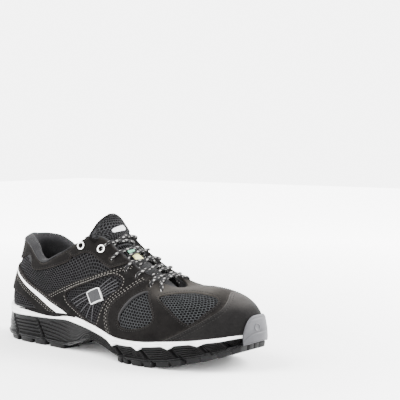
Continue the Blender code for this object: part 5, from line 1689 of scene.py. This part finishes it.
def lugMesh(outline, holes=(), height=0.0, radius=1.0, drop=0.0):
    # A block that stands down from the plate to the ground; outline in mm of (x, y).
    outlines = [roundCorners(outline, radius) * mm]
    margin = insetLoop(outlines[0], 0.0011)
    outlines += [np.asarray(hole) * mm for hole in holes if insideLoop(np.asarray(hole) * mm, margin).all()]
    deep = soleShape["plate"] + 0.0006 + height
    points, faces, rims = [], [], []
    for number, loop in enumerate(outlines):
        sign, start, count = (-1 if number else 1), len(points), len(loop)
        for inset, rise in ((-0.88 * tread["draft"], deep), (0.0, 0.0007), (0.22 * mm, 0.00022),
                (0.55 * mm, 0.0)):
            ring = insetLoop(loop, sign * inset)
            points += list(np.column_stack([ring, groundHeight(ring[:, 0]) + rise + drop]))
        flip = turnsLeft(loop) == (number == 0)
        faces += [tuple(start + k for k in face) for face in gridFaces(4, count, flip=flip)]
        rims.append(ring)
        if number == 0:
            faces.append(tuple(range(start, start + count)))
    if len(rims) == 1:
        faces.append(tuple(range(start + 4 * count - 1, start + 3 * count - 1, -1)))
    else:
        placed, triangles = triangulated(rims, scale=1000)
        start = len(points)
        points += list(np.column_stack([placed, groundHeight(placed[:, 0]) + drop]))
        faces += [tuple(start + i for i in triangle) for triangle in triangles]
    return np.array(points), faces, np.zeros((len(points), 2))


def slotHole(x, y, turn, long, wide, count=16):
    angles = circle(count)
    px, py = wide * np.cos(angles), wide * np.sin(angles)
    py = py + np.where(np.abs(py) > 1e-6, np.copysign(long - wide, py), 0)
    return np.column_stack([x + px * math.cos(turn) - py * math.sin(turn),
            y + px * math.sin(turn) + py * math.cos(turn)])


def makeLugs():
    parts, gap = [], tread["gapWide"] / 2
    # forefoot: bands across, one pair of blocks in each of four columns
    for c, (x0, x1) in enumerate(tread["front"]):
        for outer, inner in ((-0.995, -0.47), (-0.41, -0.03), (0.41, 0.03), (0.995, 0.47)):
            edge = abs(outer) > 0.9
            low, high = x0 + gap, (x1 - 3.5 if c == 4 and edge else x1 - gap)
            width = high - low
            cutAt = low + width * (0.56 if c else 0.5)
            left = onSole([low, cutAt - 1.2, cutAt - 0.2, low + 0.6], [outer, outer, inner, inner])
            x, y = left.mean(axis=0)
            holes = [slotHole(x + 0.6, y, 0.0, 3.4, 1.15)] if not edge and width > 12 else []
            parts.append(lugMesh(left, holes))
            if width > 9:
                parts.append(lugMesh(onSole([cutAt + 1.3, high, high, cutAt + 3.4, cutAt + 2.8],
                        [outer, outer, inner, inner, (outer + inner) / 2])))
            if edge:     # low web that joins the pair, seen from the side as the notch's roof
                web = onSole([low + 1, high - 1, high - 1, low + 1],
                        [outer * 0.985, outer * 0.985, inner * 1.02, inner * 1.02])
                parts.append(lugMesh(web, drop=0.0022))
    # heel: a horseshoe of blocks round the recess, studs and slots
    for k, (x0, x1) in enumerate(tread["heel"]):
        inner, middle = (0.05, 0.47, 0.47, 0.40)[k], (x0 + x1) / 2
        for sign in (-1, 1):
            if k == 0:
                outline = onSole([x0 + 2, 10, 22, x1, x1, 24, 16],
                        [sign * v for v in (0.10, 0.98, 0.99, 0.99, 0.52, 0.46, 0.06)])
                hole = slotHole(*onSole([19], [sign * 0.68])[0], sign * 0.85, 4.6, 1.2)
            else:
                outline = onSole([x0, middle, x1, x1, middle, x0],
                        [sign * v for v in (0.99, 0.995, 0.99, inner, inner + 0.06, inner)])
                hole = slotHole(*onSole([middle], [sign * 0.76])[0], 0.0, 3.4, 1.2)
            parts.append(lugMesh(outline, [hole], radius=1.4))
    drop = splineThrough(np.array(tread["teardrop"], float), 2.0, closed=True)
    drop = drop + (0, onSole([60], [0.0])[0][1])
    parts.append(lugMesh(drop, [insetLoop(drop, 1.6)[::-1]], radius=0.4, drop=0.0012))
    parts.append(lugMesh(insetLoop(drop, 4.4), radius=0.4, drop=0.0028))
    piece = makePiece("treadLugs", *gathered(parts)[:2], greyRubber, "outsole", clean="lugs")
    shadeByAngle(piece, 32)


def shadeByAngle(piece, degrees):
    # Flat shading on the small tops and crisp sides, smooth round the arcs.
    shape = bmesh.new()
    shape.from_mesh(piece.data)
    for edge in shape.edges:
        edge.smooth = len(edge.link_faces) == 2 and edge.calc_face_angle(0) < math.radians(degrees)
    for face in shape.faces:
        face.smooth = True
    shape.to_mesh(piece.data)
    shape.free()


bumper = {"rows": 0.95, "steps": 72, "height": 0.049, "thickness": 0.0026}


def bumperFrame(rows):
    here, inward = planPoints(rows)
    reach = np.abs(rows - planHalf) / bumper["rows"]
    low = layerHeight("outsole", here[:, 0]) - 0.0015
    rim = layerHeight("feather", here[:, 0])
    top = rim + (bumper["height"] - rim) * (1 - reach ** 4.5)
    return here, inward, low, rim, top, 0.0016 * (1 - reach ** 2)


def bumperPoint(rows, share, rise=0.0):
    # Outer face of the toe bumper at a share of its height, lifted off it by rise.
    here, inward, low, _, top, lean = bumperFrame(rows)
    share = np.asarray(share, float)
    inset = 0.0004 + (0.0006 + lean) * smoothStep(0.35, 1.0, share)
    inset = inset - 0.0004 * np.sin(np.clip(share, 0, 1) * 3.1)
    z = low + share * (top - low)
    return np.column_stack([here + inward * (inset - rise)[:, None], z])


def makeBumper():
    rows = planHalf + np.linspace(-1, 1, bumper["steps"] + 1) * bumper["rows"]
    here, inward, low, rim, top, lean = bumperFrame(rows)
    ones, back = np.ones(len(rows)), bumper["thickness"]
    inside = lambda depth, z: np.column_stack([here + inward * (depth * ones)[:, None], z])
    profile = [bumperPoint(rows, ones * share, ones * rise) for share, rise in (
        (0.0, -0.0006), (0.03, 0.0), (0.10, 0.0002), (0.28, 0.0002), (0.34, 0.0001), (0.36, -0.0005),
        (0.38, -0.0005), (0.40, 0.0), (0.60, 0.0001), (0.80, 0.0001), (0.86, 0.0001), (0.88, -0.0003),
        (0.90, -0.0003), (0.92, 0.0), (0.96, -0.0001), (0.99, -0.0005))]
    profile += [inside(0.0019 + lean, top), inside(back + lean, top - 0.0006),
            inside(back, (rim + low) / 2 + 0.001), inside(back, low)]
    ringPiece("toeBumper", np.array(profile).transpose(1, 0, 2), bumperRubber, "outsole")
    # plain oval pad moulded on it
    angles, loops = circle(40), []
    for scale, rise in ((1.0, -0.0003), (1.0, 0.00045), (0.93, 0.0006), (0.72, 0.0006), (0.66, 0.0001),
            (0.3, 0.0001)):
        loops.append(bumperPoint(planHalf - 0.29 + 0.16 * scale * np.cos(angles),
                0.57 + 0.15 * scale * np.sin(angles), np.full(40, rise)))
    ringPiece("bumperOval", loops, bumperRubber, "outsole")


def makeInsole():
    rows = ringStations(150)
    edge = shoe["featherInset"] + shoe["wall"] + 0.0003
    loops = []
    for inset, rise in ((0, shoe["gap"]), (0.0002, 0.0018), (0.0012, 0.0036), (0.0026, 0.0042),
            (0.006, 0.0040), (0.012, 0.0036)):
        points = upperEdge(rows, edge + inset)
        loops.append(np.column_stack([points, layerHeight("feather", points[:, 0]) + rise]))
    ringPiece("footbed", loops, insoleKnit, "insole", ("insole",), ends="across")


makePlate()
makeLugs()
makeBumper()
makeInsole()
print("outsole made")


# Small trims: heel line, fan of piping and plain badge in the window, piping, padded lip

trims = {
    # x and z in mm: ends of the pipings in the window, corners of the badge, path of the padded lip
    "fan": (((136, 58.5), (115, 48.2)), ((138, 55), (118.6, 45.5)), ((138, 52.5), (122.2, 43.4)),
        ((141, 49.5), (129, 38.6)), ((144.5, 48.5), (137.5, 34.6)), ((147, 50), (146, 31.4)),
        ((157, 55.5), (170, 62.5)), ((155.5, 57.5), (171, 66.5)), ((154, 59.5), (169.5, 69.3)),
        ((152.5, 61.2), (166, 71.3)), ((150.5, 63), (160, 72.4))),
    "badge": ((135, 57.4), (149.5, 63.7), (158.8, 53.0), (143.9, 46.9)),
    "lip": ((206, 62.2), (203.0, 62.6), (194.6, 58.2), (188.2, 50.6), (184.2, 42.4), (185.0, 37.5)),
}


def toFoot(line):
    # A line carried straight on to the foot of the upper from its first points.
    rows, shares = line
    lean = (rows[0] - rows[4]) / (shares[0] - shares[4])
    more = np.linspace(0, shares[0], 6)[:-1]
    return np.concatenate([rows[0] + (more - shares[0]) * lean, rows]), np.concatenate([more, shares])


def ribbon(name, centre, widths, material, slot, thickness, base):
    # Flat strip laid on the upper along a line, of a width at each of its points, ending at the foot.
    left, right = (toFoot(moved(centre, sign * widths / 2)) for sign in (1, -1))
    loop = tuple(np.concatenate([a, b[::-1]]) for a, b in zip(left, right))
    return panelMesh(name, [loop], material, slot, thickness=thickness, base=base)


def makeTrims():
    for side, sign in sides.items():
        line = sideLine(cut["whiteLine"], side)
        if (line[0][-1] - line[0][0]) * sign < 0:
            line = backward(line)
        line = endAtEdge(line, 0.062)
        widths = (1.5 + 4.4 * (1 - np.linspace(0, 1, len(line[0]))) ** 1.5) * mm
        ribbon("heelLine_" + side, line, widths, whiteFoam, "midsole_stripe", 0.0009, 0.0011)
        for away in (widths / 2 + 1.9 * mm, -widths / 2 - 1.6 * mm, widths / 2 + 3.9 * mm):
            rows, shares = moved(line, away)
            seams["white"].append((rows[:-1], shares[:-1]))
        for number, (start, end) in enumerate(trims["fan"]):
            middle = ((start[0] + end[0]) / 2, (start[1] + end[1]) / 2 + 0.4)
            line = sideLine((start, middle, end), side, 1.5 * mm)
            sweep(f"windowPiping_{side}_{number + 1}", lifted(*line, 0.0003), (0.00045, 0.0004), pipingGrey,
                  "mesh", around=6, up=surfaceNormal(*line))
        x, z = roundCorners(trims["badge"], 1.6).T * mm
        places = np.column_stack([x, np.full(len(x), sign * 0.04), z])
        loop = evenSteps(*findOnUpper(places, side, (1.0, 0.004, 1.0)), 1.0 * mm, closed=True)
        panelMesh("badge_" + side, [loop], badgeBorder, "nubuck", thickness=0.0009, base=0.0004)
        field = moved(loop, (1 if turnsLeft(flat(*loop)) else -1) * mm, closed=True)
        panelMesh("badgeField_" + side, [field], badgeGrey, "nubuck", thickness=0.0005, base=0.0010)
        # binding along the throat and the padded lip in the ring window
        rows = np.linspace(7.3, 12.2, 60) if side == "lateral" else np.linspace(26.7, 21.8, 60)
        sweep("throatBinding_" + side, lifted(rows, 1.0, 0.0011) + (0, 0, 0.0003), (0.0009, 0.0009), lipGrey,
              "eyestay")
        lip = moved(sideLine(trims["lip"], side), sign * 0.6 * mm)
        taper = np.sin(np.linspace(0.25, math.pi - 0.25, len(lip[0]))) ** 0.5
        sweep("windowLip_" + side, lifted(*lip, 0.0007), taper[:, None] * (0.0016, 0.0012), lipGrey, "lining",
              up=surfaceNormal(*lip))


badgeBorder = threadMaterial("badgeBorder", (0.32, 0.32, 0.32), (0.56, 0.56, 0.555))
badgeGrey = knitMaterial("badgeGrey", (0.014, 0.014, 0.015), (0.036, 0.036, 0.038), 800.0)
makeTrims()
stitchLines("stitchHeel", seams["white"], beigeThread, 3.2, (2.1, 0.8, 0.62), 0.0002)
print("trims made")
